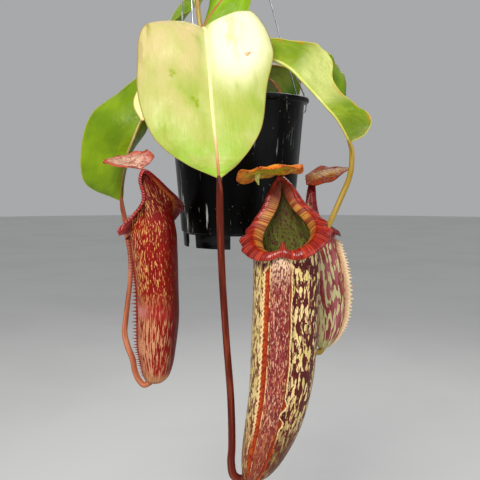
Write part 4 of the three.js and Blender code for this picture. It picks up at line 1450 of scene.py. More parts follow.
PITCHER_SHAPES = {
    "front": PitcherShape(
        y=-105, lip_level=-125, heading=14, roll=7, radius=26, ribs=150,
        lid=LidShape(1, -6, 0.18, 0.17, (0.6, 0.3), gland=True, twist=0.9, ear=5),
        wing=WingShape(1.15, 4.2, 1.1, 2.3, 1, crinkle=2.6, splay=(66, 26)),
        rings=(
            (-313.5, 13, 0), (-310, 14.5, 9), (-302, 18, 14), (-288, 22.8, 18.6), (-268, 28.8, 22.3),
            (-240, 34.4, 24.6), (-205, 37.4, 26), (-170, 38.6, 26), (-141, 39.3, 26.2),
        ),
        skew=-0.08, neck=-5.5, pinch=(0.14, 0.29),
    ),
    "left": PitcherShape(
        y=-50, lip_level=-111, heading=152, roll=17, radius=20.5, ribs=92,
        lid=LidShape(0.94, 9, 0.39, 0.14, (-1.3, -0.2), (6, 7)),
        wing=WingShape(1.3, 1.8, 3.4, 1.7, 9, turn=42),
        rings=(
            (-249, -71.5, 0), (-247.4, -70.8, 6), (-243, -69.8, 10.2), (-233, -69, 13.4), (-216, -68.8, 16.2),
            (-192, -67.4, 17.6), (-165, -67.8, 17.8), (-144, -69.2, 18.9), (-123, -70.8, 19.8),
        ),
        lean=0.2, pinch=(0, 0.95), curl=2.2, flare=(0.95, 1.4), belly=(2, 6),
    ),
    "right": PitcherShape(
        y=-35, lip_level=-116.5, heading=-95, roll=2, radius=17, ribs=96,
        lid=LidShape(1.13, 0, 0.3, 0, (2.2, -1.2), (-3, 4), notch=0),
        wing=WingShape(2.4, 3.5, 1.7, 2.1, 4),
        rings=(
            (-222.5, 75.5, 0), (-219.5, 76, 5), (-211, 77, 10.6), (-198, 77.6, 14.8), (-180, 77, 17.4),
            (-158, 74.6, 18.2), (-142, 71.6, 18), (-127, 68.4, 17.2),
        ),
        lean=0.36, neck=4, curl=1.4, belly=(5.6, 5.6),
    ),
}

# Inside of every pitcher: waxy olive green with soft purple spots, redder towards the neck, and dark brown
# painted shade just under the lip.
INSIDE = painted("inside", 0.4, 0.6)
INSIDE_LAYERS = (
    layer("#686a2e", 1, INSIDE),
    layer("#848a44", 0.7, INSIDE, clouds(0.45, 0.65, (6, 6, 10), 3)),
    layer("#5e2c30", 0.9, INSIDE, leaning_clouds(0.57, 0.64, (2.6, 2.6, 2.8), 5, 0.3, "height", 0.04)),
    layer("#5c2a34", 0.85, INSIDE, cells(0.34, 0.2, (3.2, 3.2, 3.6), 2), clouds(0.42, 0.56, 12, 2, 6)),
    # Painted shade: dark brown just under the lip, where the mouth is in shadow.
    layer("#46220e", 0.85, INSIDE, painted("height", 1.04, 1.26)),
)
# Outside the pair of wings and between them, by degrees from their middle.
BESIDE = painted("front", 15, 17)
BETWEEN = painted("front", 17.5, 15.5)
# Satin skin with duller patches.
SATIN = clouds(0.4, 0.7, (8, 8, 20))


def cup_finish(name: str, ground: str, *layers: Layer, **light: float | Mask) -> Finish:
    """Pitcher wall: a thin leathery leaf skin, with its blotches drawn out along the pitcher.

    Args:
        name: The material's name.
        ground: Its colour.
        *layers: The outer skin's layers.
        **light: How it takes the light.

    Returns:
        The finish.
    """
    reliefs = (relief(0.3, (2.2, 2.2, 30)), relief(0.06, (0.9, 0.9, 1.4)))
    return Finish(name, ground, (*layers, *INSIDE_LAYERS), reliefs, follows="wall", **light)


CUP_FINISHES = {
    "front": cup_finish(
        "cream_and_maroon_pitcher_wall", "#e8cf90",
        layer("#c6b45c", 0.6, clouds(0.45, 0.65, (12, 12, 30), 2, 3)),
        layer("#501214", 1, BESIDE, leaning_clouds(0.52, 0.54, (2.7, 2.7, 8.5), 4.3, 0.4, "side", 0.09)),
        layer("#6a2420", 0.9, BESIDE, leaning_clouds(0.54, 0.56, (1.6, 1.6, 5.5), 8, 0.4, "side", -0.04)),
        layer("#8a3634", 1, BETWEEN),
        layer("#aa5650", 0.7, BETWEEN, clouds(0.45, 0.6, (3, 3, 16), 2, 5)),
        layer("#e2c2a0", 1, BETWEEN, painted("height", 0.82, 0.95)),
        layer("#d6a680", 0.9, BETWEEN, clouds(0.54, 0.58, (1.1, 1.1, 4.2), 1.5, 4)),
        layer(
            "#c87c4c", 0.75, BETWEEN, clouds(0.5, 0.56, (1.4, 1.4, 18), 1.5, 7),
            painted("height", 0.6, 0.4),
        ),
        layer("#641a20", 0.9, BETWEEN, clouds(0.505, 0.54, (0.85, 0.85, 2.6), 1.5, 9)),
        layer("#7c3018", 0.8, painted("height", 0.42, 0.08), clouds(0.36, 0.54, (2, 2, 26), 2, 9)),
        # Painted shade: the lower right of the cup darker, on the side away from the light.
        layer("#4c260e", 0.8, painted("height", 0.4, 0.08), painted("side", 0, 0.5)),
        roughness=0.36, dull=SATIN, flesh=0.04, specular=0.2,
    ),
    "left": cup_finish(
        "red_pitcher_wall", "#7c0e08",
        layer("#941a10", 0.7, clouds(0.45, 0.6, (5, 5, 24), 2, 3)),
        layer("#5c1414", 0.8, painted("height", 1, 1.15)),
        layer(
            "#d89c5c", 0.9, leaning_clouds(0.575, 0.6, (1.1, 1.1, 5), 1, 0.4, "side", -0.05),
            painted("height", 0.46, 0.6), painted("height", 1.38, 1.08),
        ),
        layer(
            "#cc8e68", 0.9, leaning_clouds(0.5, 0.53, (1.2, 1.2, 10), 5, 0.6, "side", -0.08),
            painted("height", 0.6, 0.44),
        ),
        # Painted highlight: a brighter red and pink band round the middle, palest on the lit left side.
        layer("#9c2626", 0.8, painted("band", 0.1, 1), clouds(0.2, 0.6, (4, 4, 8), 2, 2)),
        layer("#cf8a80", 0.6, painted("band", 0.4, 1), painted("side", -0.2, -0.7)),
        # Painted shade: the right side darker, away from the light.
        layer(
            "#5a0604", 0.85, painted("side", 0.25, 0.75), clouds(0.1, 0.5, (3, 3, 30), 2, 6),
            painted("height", 1.2, 1.1),
        ),
        layer("#c08c5c", 0.8, painted("height", 0.1, 0.02)),
        layer("#9c4630", 0.9, painted("height", 0.04, 0)),
        roughness=0.34, dull=SATIN, flesh=0.02, specular=0.14,
    ),
    "right": cup_finish(
        "pink_maroon_pitcher_wall", "#8c3438",
        layer("#b06468", 0.7, clouds(0.45, 0.6, (5, 5, 20), 2, 3)),
        layer("#d0c890", 0.95, leaning_clouds(0.51, 0.54, (2.8, 2.8, 12), 1, 0.5, "side", -0.03)),
        layer("#5c1c28", 0.85, painted("front", 24, 21), BESIDE),
        layer("#b0707a", 0.8, BETWEEN),
        layer("#dcb0a0", 0.9, BETWEEN, clouds(0.53, 0.58, (1.1, 1.1, 3), 1.5, 7)),
        layer("#6a2430", 0.9, BETWEEN, clouds(0.53, 0.58, (1.1, 1.1, 4), 1.5, 2)),
        layer("#aeb878", 0.85, painted("height", 0.14, 0.04), clouds(0.35, 0.6, (3, 3, 8), 2, 4)),
        roughness=0.38, flesh=0.04, specular=0.2,
    ),
}


def wing_finish(name: str, ground: str, roughness: float, *layers: Layer) -> Finish:
    """Wing: a thin skin, paler or redder towards its fringe of fine hairs."""
    return Finish(name, ground, layers, roughness=roughness, flesh=0.08, specular=0.15)


WING_FINISHES = {
    "front": wing_finish(
        "orange_red_fringed_wing", "#9c3010", 0.45,
        layer("#b45018", 0.8, painted("out", 0.3, 0.6), clouds(0.35, 0.6, (3, 3, 4), 2, 2)),
        layer("#6c160c", 0.75, clouds(0.5, 0.6, (1.4, 1.4, 2.4), 2, 5)),
        layer("#ecd09a", 0.85, painted("out", 0.72, 0.88), painted("height", 0.25, 0.35)),
    ),
    "left": wing_finish(
        "dark_red_fringed_wing", "#741812", 0.45,
        layer("#a0402c", 0.6, clouds(0.45, 0.6, (3, 3, 8))),
        layer("#8c3a2c", 0.7, painted("out", 0.5, 0.8)),
    ),
    "right": wing_finish(
        "cream_fringed_wing", "#dcb48e", 0.5,
        layer("#9c4650", 0.9, painted("out", 0.4, 0.2), clouds(0.4, 0.6, (2, 2, 5))),
        layer("#f4dcb0", 0.9, painted("out", 0.5, 0.75)),
        layer("#c05a34", 0.7, painted("out", 0.9, 0.99), clouds(0.5, 0.6, 4, 2, 3)),
    ),
}


def lip_finish(
    name: str, roll: str, bright: str, dark: str, slope: str, stripe: str, under: str,
    glint: float, shade: float,
) -> Finish:
    """Lip of fine glossy ribs: a wet-looking roll outside and a striped slope down to the mouth.

    Args:
        name: The material's name.
        roll: Colour of the outer roll.
        bright: Colour of its brighter ribs.
        dark: Colour of the painted shade in the grooves and on the far side of the roll, and of the top of
            the slope.
        slope: Colour of the inner slope.
        stripe: Colour of the slope's stripes.
        under: Colour of the underside.
        glint: Strength of the painted highlights on the ribs' crests on the lit side.
        shade: Strength of the painted shade on the roll's far side, and of the painted highlights on its ribs
            there.

    Returns:
        The finish.
    """
    on_slope = painted("profile", 0.52, 0.36)
    low_slope = painted("profile", 0.6, 0.4)
    layers = (
        layer(bright, 0.8, painted("tone", 0.3, 0.95)),
        # Painted highlights: pale glints on the crests of the roll's ribs, on the lit side.
        layer(
            "#f0a098", glint, painted("rib", 0.2, 0.9), painted("profile", 0.6, 0.8),
            painted("side", 0.2, -0.5),
        ),
        # Painted shade: the roll darker on its far side, with painted highlights on the ribs there.
        layer(dark, shade, painted("side", 0.1, 0.7)),
        layer(
            "#b8605c", shade, painted("rib", 0.4, 0.9), painted("profile", 0.7, 0.9),
            painted("side", 0.1, 0.6),
        ),
        layer(under, 0.9, painted("profile", 1.4, 1.55), painted("side", -0.2, 0.2)),
        layer(slope, 1, on_slope),
        layer(bright, 0.6, painted("profile", 0.22, 0.5), on_slope, clouds(0.3, 0.6, 9, 2, 2)),
        layer(stripe, 0.8, painted("profile", 0.56, 0.4), painted("tone", 0.42, 0.25)),
        layer(stripe, 0.8, low_slope, painted("rise", 0.48, 0.9)),
        layer(dark, 0.6, low_slope, painted("rise", 0.6, 1)),
        # Painted shade in the grooves between the ribs.
        layer(dark, 0.75, painted("rib", 0.1, -0.8)),
        layer("#d88c3c", 0.8, painted("profile", 0.07, 0.02), painted("rib", -1.4, -0.4)),
        layer(bright, 0.9, painted("tooth", 0.3, 1.2)),
    )
    return Finish(
        name, roll, layers, (relief(0.1, 3),), roughness=0.24, dull=painted("matt", 0, 1),
        dull_roughness=0.85, flesh=0.02, specular=0.34,
    )


# The last two numbers are the strengths of the painted highlights and of the painted shade.
LIP_FINISHES = {
    "front": lip_finish(
        "glossy_red_lip", "#8a180c", "#b83616", "#480606", "#c08434", "#842010", "#8c3a1a", 0.2, 0
    ),
    "left": lip_finish(
        "glossy_crimson_lip", "#a00c12", "#c82024", "#440406", "#a8501c", "#601008", "#a8500e", 0.7, 0.75
    ),
    "right": lip_finish(
        "glossy_maroon_lip", "#6c0c12", "#901c1e", "#36040a", "#9c5428", "#52100e", "#6c2416", 0.2, 0.2
    ),
}


def lid_finish(name: str, ground: str, heart: str, rim: str, speck: str) -> Finish:
    """Thin leathery lid with a coloured margin, fine specks and a wrinkled skin.

    Args:
        name: The material's name.
        ground: The lid's own colour.
        heart: Colour of its middle.
        rim: Colour of its margin.
        speck: Colour of its specks.

    Returns:
        The finish.
    """
    layers = (
        layer(heart, 0.95, painted("edge", 0.85, 0.35), clouds(0.3, 0.5, 7)),
        layer(rim, 0.85, painted("edge", 0.7, 0.97), clouds(0.25, 0.5, 5, 2, 1)),
        layer(speck, 0.8, clouds(0.54, 0.6, 1.6, 2, 3), clouds(0.4, 0.55, 9, 2, 5)),
        layer(speck, 0.5, clouds(0.52, 0.66, 6, 3, 7)),
    )
    reliefs = (relief(0.35, 2.2, 3), relief(0.8, 6))
    return Finish(name, ground, layers, reliefs, roughness=0.5, flesh=0.06, specular=0.15)


LID_FINISHES = {
    "front": lid_finish("orange_olive_lid", "#dc9628", "#b4b02a", "#d4601a", "#8a2c10"),
    "left": lid_finish("pink_speckled_lid", "#cf8a7c", "#e4bca4", "#c4482a", "#8c3430"),
    "right": lid_finish("brown_orange_lid", "#7c320a", "#a87a22", "#8c2e0c", "#4c1206"),
}
# Nectar gland under the front lid: a pale green horn.
LID_GLAND = Finish(
    "pale_green_gland", "#b9c04a", (layer("#dfe08c", 0.8, clouds(0.45, 0.6, (2, 2, 4))),),
    roughness=0.3, flesh=0.2,
)


@dataclass
class Pitcher:
    """One pitcher: its cup, its two fringed wings, its ribbed lip and its lid."""

    name: str
    shape: PitcherShape
    wall_thickness: float = 1.6
    # Where the cup's wall meets the lip, between its inner edge and its crest, and how far under it.
    lip_seat: float = 0.85
    lip_under: float = 1.5
    # The scalloped ears of the lip, in fourteenths of its turn.
    ear_centre: float = 3.1
    ear_spread: float = 0.75
    ear_reach: float = 1.7
    ear_lobes: float = 3.2
    tone_seed: int = 11
    # A wing's degrees from the pair's middle, its first level, its length in levels and its root's depth.
    wing_angle: float = 17.5
    wing_start: float = 0.13
    wing_length: float = 1.2
    wing_root: float = 0.8
    wing_thickness: float = 0.7
    crinkle_level: float = -251.0
    # The lid's length, its half width, its thickness, and how far its hinge lies back and up.
    lid_length: float = 43.0
    lid_half_width: float = 27.0
    lid_thickness: float = 1.0
    hinge: tuple[float, float] = (-18.2, 62.6)

    def __post_init__(self) -> None:
        """Works out the pitcher's directions and the guide curves of its mouth."""
        shape = self.shape
        turn = np.radians(shape.heading)
        self.size = shape.radius / PATTERN_RADIUS
        self.forward = np.array([-np.sin(turn), -np.cos(turn), 0.0])
        self.sideways = np.array([np.cos(turn), -np.sin(turn), 0.0])
        self.rings = np.array(shape.rings, float)
        self.guides = {}
        for name, half in MOUTH.items():
            points = np.array(half, float)
            mirrored = points[-2:0:-1] * [-1, 1, 1]
            self.guides[name] = np.vstack([points, mirrored]) * self.size

    def head(self, local: Points) -> Points:
        """Points of the head, tipped sideways and leaning as the photographed one.

        Args:
            local: [sideways, forward, up] from the middle of the mouth.

        Returns:
            The points in the pot's frame.
        """
        shape, size = self.shape, self.size
        x, y, z = local[..., 0], local[..., 1], local[..., 2]
        hand = 1.0 if self.forward[1] > 0 else -1.0
        pivot = 8 * size
        tip = smooth_step(z, -16 * size, 2 * size) * np.radians(shape.roll)
        up = z + shape.neck * size * smooth_step(z, 14 * size, 58 * size)
        waist = 14 * size
        pinched = x - by_side(x, shape.pinch) * hump(z / size - 34, 260**0.5) * np.clip(x, -waist, waist)
        across = pinched * np.cos(tip) + (up - pivot) * np.sin(tip) * hand
        level = pivot + (up - pivot) * np.cos(tip) - x * np.sin(tip) * hand
        rise = np.maximum(z - 20 * size, 0)
        base = np.array([self.rings[-1, 1], shape.y, shape.lip_level])
        point = base + self.sideways * (across + shape.skew * rise)[..., None]
        point = point + self.forward * (y + shape.lean * rise)[..., None]
        point[..., 2] += level
        return point

    def lip_guides(self, share: Points) -> tuple[Points, Points, Points, Points, Points]:
        """Inner edge, crest and outer edge of the lip, with its outward and upward directions.

        Args:
            share: Places round the mouth.

        Returns:
            The five lists of points and directions.
        """
        inner, crest, outer = (smooth(self.guides[name], share, True) for name in ("inner", "crest", "outer"))
        outward = unit(crest - inner)
        along = heading(self.guides["crest"], share, True)
        return inner, crest, outer, outward, unit(np.cross(along, outward))

    def wall(self, angle: Points, level: Points, inset: Points) -> Points:
        """Points of the cup's wall.

        Args:
            angle: Angle from the front.
            level: 0 at the bottom, 1 at the top of the tube and 2 under the lip.
            inset: How far inside the outer skin.

        Returns:
            The points in the pot's frame.
        """
        ring = smooth(self.rings, np.minimum(level, 1))
        radius = np.maximum(ring[:, 2] - inset, 0)[:, None]
        base = np.stack([ring[:, 1], np.full(len(ring), self.shape.y), ring[:, 0]], axis=1)
        base = base + self.sideways * radius * np.sin(angle)[:, None]
        base = base + self.forward * radius * np.cos(angle)[:, None]
        inner, crest, _, outward, up = self.lip_guides(np.mod(angle / TURN, 1))
        seat = inner + (crest - inner) * self.lip_seat
        top = self.head(seat - outward * inset[:, None] - up * (self.lip_under * self.size))
        climb = np.maximum(level - 1, 0)
        drift = smooth_step(climb, 0, 1.15) / smooth_step(np.array(1.0), 0, 1.15)
        point = base + (top - base) * drift[:, None]
        point[:, 2] = base[:, 2] + (top[:, 2] - base[:, 2]) * climb
        return point

    def build(self) -> None:
        """Builds and dresses the whole pitcher."""
        self.build_cup()
        for side in (-1, 1):
            self.build_wing(side)
        self.build_lip()
        self.build_lid()

    def build_cup(self) -> None:
        """Builds the cup: its outer skin up to the lip and its inner skin down to the bottom."""
        outer = np.concatenate([np.linspace(0, 1, 97), np.linspace(1, 2, 45)[1:]])
        inner = np.concatenate([np.linspace(2, 0.2, 56), [0.12]])
        levels = np.concatenate([outer, inner])
        cup, share, row = new_skin(f"{self.name}_cup", 168, len(levels) - 1)
        angle = share * TURN
        level = levels[row]
        inset = np.where(row >= len(outer), self.wall_thickness, 0.0)
        # The last row closes on the axis.
        inset = np.where(row == len(levels) - 1, 100.0, inset)
        points = self.wall(angle, level, inset)
        settle(cup, points)
        shares = np.linspace(0, 1, 101)
        distance = np.interp(np.minimum(level, 1), shares, lengths_along(smooth(self.rings, shares)[:, :2]))
        distance = distance + np.where(level > 1, points[:, 2] - self.rings[-1, 0], 0)
        radius = self.shape.radius
        height = (points[:, 2] - self.rings[0, 0]) / (self.shape.lip_level - self.rings[0, 0])
        middle = np.interp(points[:, 2], self.rings[:, 0], self.rings[:, 1])
        paint(
            cup,
            wall=np.stack([radius * np.sin(angle), radius * np.cos(angle), distance], axis=1),
            front=np.abs(np.mod(np.degrees(angle) - self.shape.wing.turn + 180, 360) - 180),
            height=height,
            side=(points[:, 0] - middle) / radius,
            # Where the painted highlight band lies round the middle of the cup.
            band=hump(height - 0.47, 0.05),
            inside=(row >= len(outer)).astype(float),
        )
        node = f"pitcher_{self.name}"
        hand_over(cup, CUP_FINISHES[self.name], node)

    def build_wing(self, side: int) -> None:
        """Builds one wing: a web of skin down the front with a fringe of hairs.

        Args:
            side: -1 for the left wing and 1 for the right one.
        """
        wing = self.shape.wing
        angle = np.radians(wing.turn + side * self.wing_angle)
        lean = np.radians(wing.turn + side * wing.splay[side > 0])
        out = self.sideways * np.sin(lean) + self.forward * np.cos(lean)
        hairs = int((self.shape.lip_level - self.rings[0, 0]) / wing.spacing)
        piece, u, v = new_sheet(f"{self.name}_wing_{'left' if side < 0 else 'right'}", 5, hairs * 8)
        share = (v + 1) / 2
        level = self.wing_start + u * self.wing_length
        root = self.wall(np.full(len(u), angle), level, np.full(len(u), self.wing_root))
        taper = np.sin(np.pi * np.clip(u, 0.04, 0.96)) ** 0.8
        uneven = 1 + 0.25 * np.sin(np.floor(u * hairs) * 2.4)
        comb = np.abs(np.sin(np.pi * hairs * u)) ** wing.fineness * uneven
        height = self.wing_root + (wing.web + wing.hair * comb * share) * taper * self.size * wing.scale
        ripple = 0.35 * np.sin(u * hairs * 0.9) * share
        crinkled = hump(root[:, 2] - self.crinkle_level, 13) * (side > 0)
        ripple = ripple + wing.crinkle * crinkled * np.sin(root[:, 2] * 0.42) * share
        swing = np.cross(out, [0.0, 0.0, 1.0]) * ripple[:, None]
        settle(piece, root + out * (height * share)[:, None] + swing)
        paint(piece, out=share, height=u)
        thicken(piece, self.wing_thickness)
        node = f"pitcher_{self.name}"
        hand_over(piece, WING_FINISHES[self.name], node)

    def ear(self, share: Points) -> Points:
        """How far the scalloped ears stand out of the lip.

        Args:
            share: Places round the mouth.

        Returns:
            The distance, in sizes of the pattern pitcher.
        """
        place = np.minimum(share, 1 - share) * 14 - self.ear_centre
        return self.ear_reach * hump(place, self.ear_spread) * np.cos(place * self.ear_lobes * np.pi)

    def build_lip(self) -> None:
        """Builds the rolled lip with its fine ribs, its ears and the tooth in the middle of its front."""
        size, ribs = self.size, self.shape.ribs
        steps = ribs * 6
        corners = 26
        share = np.arange(steps) / steps
        inner, crest, outer, outward, up = self.lip_guides(share)
        sideways = crest[:, 0] / (10 * size)
        flare, belly = (np.interp(sideways, (-1, 1), pair) for pair in (self.shape.flare, self.shape.belly))
        outer = crest + (outer - crest) * flare[:, None]
        tooth = 8 * size * hump(inner[:, 0], 2.4 * size) * (inner[:, 1] > 0)
        ear = self.ear(share)
        section = np.stack([
            inner + up * tooth[:, None] + outward * (tooth * 0.25)[:, None],
            inner + (crest - inner) * 0.5 + up * 1.1 * size,
            crest + up * 0.5 * size,
            crest + (outer - crest) * 0.55 + up * 2.2 * size,
            outer + outward * (ear * size)[:, None],
            outer + outward * ((ear - 0.8) * size)[:, None] - up * 2.8 * self.shape.curl * size,
            crest + (outer - crest) * 0.35 - up * belly[:, None] * size,
            inner + (crest - inner) * self.lip_seat - up * self.lip_under * size,
        ])
        rounds = np.arange(corners) / corners
        skin = smooth(section, rounds, True)
        wave = np.cos(TURN * ribs * share)
        top = np.sin(np.pi * np.clip(rounds / 0.85, 0, 1)) ** 0.5
        ridge = 0.3 * size * top[:, None] * wave[None]
        skin = skin + unit(skin - section.mean(axis=0)) * ridge[:, :, None]
        lip, step, corner = new_ring(f"{self.name}_lip", steps, corners)
        points = self.head(skin)[corner, step]
        settle(lip, points)
        tones = np.random.default_rng(self.tone_seed).random(ribs)[np.rint(share * ribs).astype(int) % ribs]
        # 0 at the inner edge, 0.5 at the crest, 1 at the outer edge and 1.75 where the wall begins.
        profile = rounds[corner] * 2
        paint(
            lip,
            profile=profile,
            matt=smooth_step(profile, 1.2, 1.45) + 0.5 * smooth_step(-profile, -0.62, -0.42),
            rib=wave[step],
            tone=tones[step],
            side=(points[:, 0] - self.rings[-1, 1]) / self.shape.radius,
            rise=inner[step, 2] / (52 * size),
            tooth=tooth[step] / (4 * size) * (rounds[corner] < 0.2),
        )
        hand_over(lip, LIP_FINISHES[self.name], f"lip_{self.name}")

    def lid_surface(self, u: Points, v: Points) -> Points:
        """The middle of the lid.

        Args:
            u: Share from the hinge to the front.
            v: Share from the left margin at -1 to the right one at 1.

        Returns:
            Its points in the pot's frame.
        """
        lid = self.shape.lid
        side = np.abs(v)
        spread = np.sin(np.pi * (0.07 + 0.92 * u) ** 0.75) ** 0.7
        free = np.sin(np.minimum(u * 3, 1) * np.pi * 0.5)
        across = v * self.lid_half_width * spread * lid.size + lid.shift * free
        notch = 9 * side**lid.notch * (1 - u) ** 2
        forward = self.hinge[0] + (self.lid_length * u - 3 * v * v * u - notch) * lid.size
        slope = (self.lid_length * lid.tilt - 3 * u) * u * lid.size
        slope = slope + lid.slant * free * (across - self.lid_half_width * 0.6)
        slope = slope * (1 - lid.twist * np.maximum(v, 0) ** 2)
        curl = 1.3 * side**3 * np.sin(u * 15 + 3.4 * v) * free + 0.5 * np.sin(u * 9 - v * 8)
        dome = 6 * by_side(v, lid.dome) * v * v * spread**2
        saddle = by_side(v, lid.saddle) * side * (1 - u) ** 2
        ear = lid.ear * hump(v + 1, 0.25) * hump(u - 0.6, 0.3)
        up = self.hinge[1] + 5 * free - dome + slope + curl + saddle + ear
        return self.head(np.stack([across, forward, up], axis=-1) * self.size)

    def build_lid(self) -> None:
        """Builds the lid, the nectar gland under the front one, and the keel along its middle."""
        node = f"lid_{self.name}"
        lid, u, v = new_sheet(f"{self.name}_lid", 72, 72)
        settle(lid, self.lid_surface(u, v))
        paint(lid, edge=np.maximum(np.abs(v), np.abs(u - 0.45) / 0.55))
        thicken(lid, self.lid_thickness)
        hand_over(lid, LID_FINISHES[self.name], node)
        if self.shape.lid.gland:
            root = self.lid_surface(np.array([0.4]), np.array([-0.3]))[0]
            line = np.array([[0, 0, 0, 2.4], [-0.6, -1.2, -3.4, 1.9], [0.6, -2.2, -8, 0.5]]) + [*root, 0]
            gland = new_tube(f"{self.name}_lid_gland", *route_of(line, 24), 16)
            paint(gland, edge=np.full(len(gland.data.vertices), 0.5))
            hand_over(gland, LID_GLAND, node)
        shares = np.linspace(0.02, 0.9, 50)
        radii = (1.1 - 0.6 * shares) * self.size
        keel = new_tube(f"{self.name}_lid_keel", self.lid_surface(shares, 0 * shares), radii, 14)
        paint(keel, edge=np.zeros(len(keel.data.vertices)))
        hand_over(keel, LID_FINISHES[self.name], node)


# Hanger

# Galvanised steel wire: cool grey, soft shine, with a faint spangle and some white bloom.
WIRE_STEEL = Finish(
    "galvanised_steel_wire",
    "#b9bcc0",
    (
        layer("#8e9296", 0.6, clouds(0.45, 0.6, (2.5, 2.5, 6), 3)),
        layer("#d8dadb", 0.6, clouds(0.6, 0.7, (1.5, 1.5, 10), 3, 4)),
    ),
    roughness=0.3,
    dull=clouds(0.4, 0.65, (3, 3, 8), 3),
    dull_roughness=0.55,
    metallic=0.9,
)


@dataclass
class Hanger:
    """Three wires from the pot's holes to the eye of an open hook."""

    pot: NurseryPot
    hook_x: float = -52.0
    eye_level: float = 362.0
    # Where each wire hangs in the eye, in the order of the pot's holes.
    eye_places: Row = (0, -3.2, 3.2)
    hook_radius: float = 1.5
    arc_radius: float = 11.0
    arc_level: float = 396.0
    wire_radius: float = 0.75
    # How far a wire stays clear of the eye that it lies in.
    touch: float = 0.35
    # The twist over the pot: its first turn's distance from the foot, its pitch, its radius and its turns.
    twist_start: float = 27.0
    twist_pitch: float = 5.0
    twist_radius: float = 1.95
    twist_turns: int = 2

    def wire_points(self, azimuth: float, eye_y: float) -> Points:
        """The middle line of one wire, from its end in the eye to the last turn of its twist.

        Args:
            azimuth: Where its hole is, in degrees from the front.
            eye_y: Where it hangs in the hook's eye.

        Returns:
            The points.
        """
        turn = np.radians(azimuth)
        outward = np.array([np.sin(turn), -np.cos(turn), 0.0])
        side = 1.0 if outward[0] > 0 else -1.0
        loop = self.hook_radius + self.wire_radius + self.touch
        eye = np.array([self.hook_x, eye_y, self.eye_level])
        head = eye + [side * loop, 0, 0]
        foot = outward * (self.pot.inner_radius(0.0) - 1.6) + [0, 0, 2]
        strand = unit(head - foot)
        points = [eye + [-side * loop, 0, -14]]
        for bend in np.linspace(np.pi, 0, 7):
            points.append(eye + [side * loop * np.cos(bend), 0, loop * np.sin(bend)])
        for share in np.linspace(0.02, 0.98, 9):
            points.append(head + (foot - head) * share)
        points.append(foot)
        wall, rim, hole = self.pot.wall_top, self.pot.rim_radius, self.pot.hole_level
        for radius, level in (
            (wall - 4.4, hole + 3.4), (wall - 3.7, hole + 0.9), (wall - 2.7, hole), (wall + 3.4, hole),
            (wall + 5.6, hole + 2), (rim + 1.5, hole + 5.5), (rim + 1.6, -1),
        ):
            points.append(outward * radius + [0, 0, level])
        across = unit(np.cross(strand, outward))
        lean = unit(np.cross(across, strand))
        for turns in np.linspace(0, self.twist_turns, self.twist_turns * 8 + 1):
            centre = foot + strand * (self.twist_start + turns * self.twist_pitch)
            round_it = lean * np.cos(turns * TURN) + across * np.sin(turns * TURN)
            points.append(centre + round_it * self.twist_radius)
        return np.array(points)

    def hook_points(self) -> Points:
        """The middle line of the hook, from its free end over its arc and down round its eye.

        Returns:
            The points.
        """
        arc, top = self.arc_radius, self.arc_level
        outline = [(-arc - 2.2, top - 9), (-arc, top - 2)]
        for bend in np.linspace(np.pi, 0, 9):
            outline.append((arc * np.cos(bend), top + 2 + arc * np.sin(bend)))
        outline += [(arc, top - 4), (arc - 3.4, top - 11), (2, top - 17), (0, top - 22)]
        upper = [(self.hook_x + x, 0, z) for x, z in outline]
        eye = (
            (0, 10), (4.4, 8), (7.6, 4.6), (8, 1.6), (6.4, 0), (-6.4, 0), (-8, 1.6), (-7.6, 4.6), (-5.6, 7.4)
        )
        return np.array(upper + [(self.hook_x, y, self.eye_level + z) for y, z in eye])

    def rod(self, name: str, node: str, line: Points, radius: float, steps: int, sides: int) -> None:
        """Bends a round rod along a line and dresses it.

        Args:
            name: The piece's name.
            node: The solid that it replaces.
            line: The points of its middle line.
            radius: Its radius.
            steps: Faces along each stretch between two points.
            sides: Faces round it.
        """
        path = smooth(line, np.linspace(0, 1, (len(line) - 1) * steps + 1))
        hand_over(new_tube(name, path, np.full(len(path), radius), sides), WIRE_STEEL, node)

    def build(self) -> None:
        """Builds and dresses the wires and the hook."""
        for (name, azimuth), eye_y in zip(self.pot.wire_holes, self.eye_places):
            line = self.wire_points(azimuth, eye_y)
            self.rod(f"wire_{name}", f"hanger_wire_{name}", line, self.wire_radius, 7, 12)
        self.rod("open_hook", "hanger_hook", self.hook_points(), self.hook_radius, 8, 20)


# Camera, floor and light

# Matt studio paper: pale and even, with a barely seen tooth.
FLOOR_PAPER = Finish(
    "matt_studio_paper", "#dcdcda", (layer("#d2d2d0", 0.5, clouds(0.4, 0.7, 400)),), roughness=0.85
)


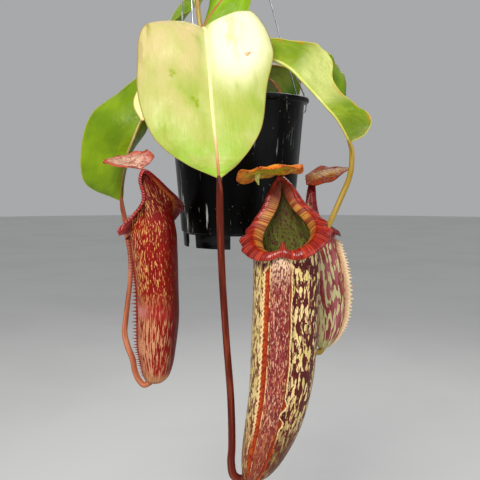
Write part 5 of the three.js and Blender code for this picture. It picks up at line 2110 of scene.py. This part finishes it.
@dataclass
class Studio:
    """Pale floor, soft lights and the camera at the photograph's viewing angle, in metres."""

    camera_place: Row = (0.0547, -0.700, -0.4745)
    camera_pitch: float = 85.0
    lens: float = 57.35
    sensor: float = 36.0
    floor_level: float = -1.0
    floor_radius: float = 9.0
    room_light: float = 0.5
    aim: Row = (0.03, 0.0, -0.45)

    def build(self) -> None:
        """Sets up the floor, the lights and the camera."""
        sizes = {"vertices": 96, "radius": self.floor_radius, "fill_type": "NGON", "location": (0, 0, 0)}
        floor = add_primitive("circle", "studio_floor", **sizes)
        places = vertices_of(floor)
        places[:, 2] = self.floor_level
        floor.data.vertices.foreach_set("co", places.ravel())
        floor.data.materials.append(FLOOR_PAPER.material())
        self.light("key", (-0.3, -1.35, 0.5), 0.6, 27, (1.0, 0.97, 0.92))
        self.light("fill", (1.1, -0.9, -0.2), 1.0, 6, (0.92, 0.96, 1.0))
        self.light("rim", (0.3, 1.2, 0.4), 0.8, 6, (1.0, 1.0, 1.0))
        world = bpy.data.worlds.new("pale_room")
        world.use_nodes = True
        background = world.node_tree.nodes["Background"]
        background.inputs["Color"].default_value = linear("#e4e6e8")
        background.inputs["Strength"].default_value = self.room_light
        bpy.context.scene.world = world
        bpy.context.scene.view_settings.view_transform = "Standard"
        data = bpy.data.cameras.new("photo_camera")
        data.lens = self.lens
        data.sensor_width = self.sensor
        camera = bpy.data.objects.new("photo_camera", data)
        camera.location = self.camera_place
        camera.rotation_euler = (np.radians(self.camera_pitch), 0, 0)
        bpy.context.scene.collection.objects.link(camera)
        bpy.context.scene.camera = camera

    def light(self, name: str, place: Row, width: float, power: float, colour: Row) -> None:
        """Adds one soft square light that faces the plant.

        Args:
            name: The light's name.
            place: Where it stands, in metres.
            width: Its width in metres.
            power: Its power in watts.
            colour: Its linear colour.
        """
        data = bpy.data.lights.new(name, "AREA")
        data.size = width
        data.energy = power
        data.color = colour
        lamp = bpy.data.objects.new(name, data)
        lamp.location = place
        lamp.rotation_euler = Vector(np.subtract(self.aim, place)).to_track_quat("-Z", "Y").to_euler()
        bpy.context.scene.collection.objects.link(lamp)


def main() -> None:
    """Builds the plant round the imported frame, part by part."""
    logging.basicConfig(level=logging.INFO, format="%(message)s")
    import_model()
    Studio().build()
    pot = NurseryPot()
    pot.build()
    PottingMix(pot).build()
    stem = Stem()
    stem.build()
    leaves = {name: Leaf(name, shape, stem) for name, shape in LEAF_SHAPES.items()}
    for leaf in leaves.values():
        leaf.build()
    for name, shape in TENDRIL_SHAPES.items():
        Tendril(name, shape, leaves[shape.leaf]).build()
    for name, shape in PITCHER_SHAPES.items():
        Pitcher(name, shape).build()
    Hanger(pot).build()


if __name__ == "__main__":
    main()
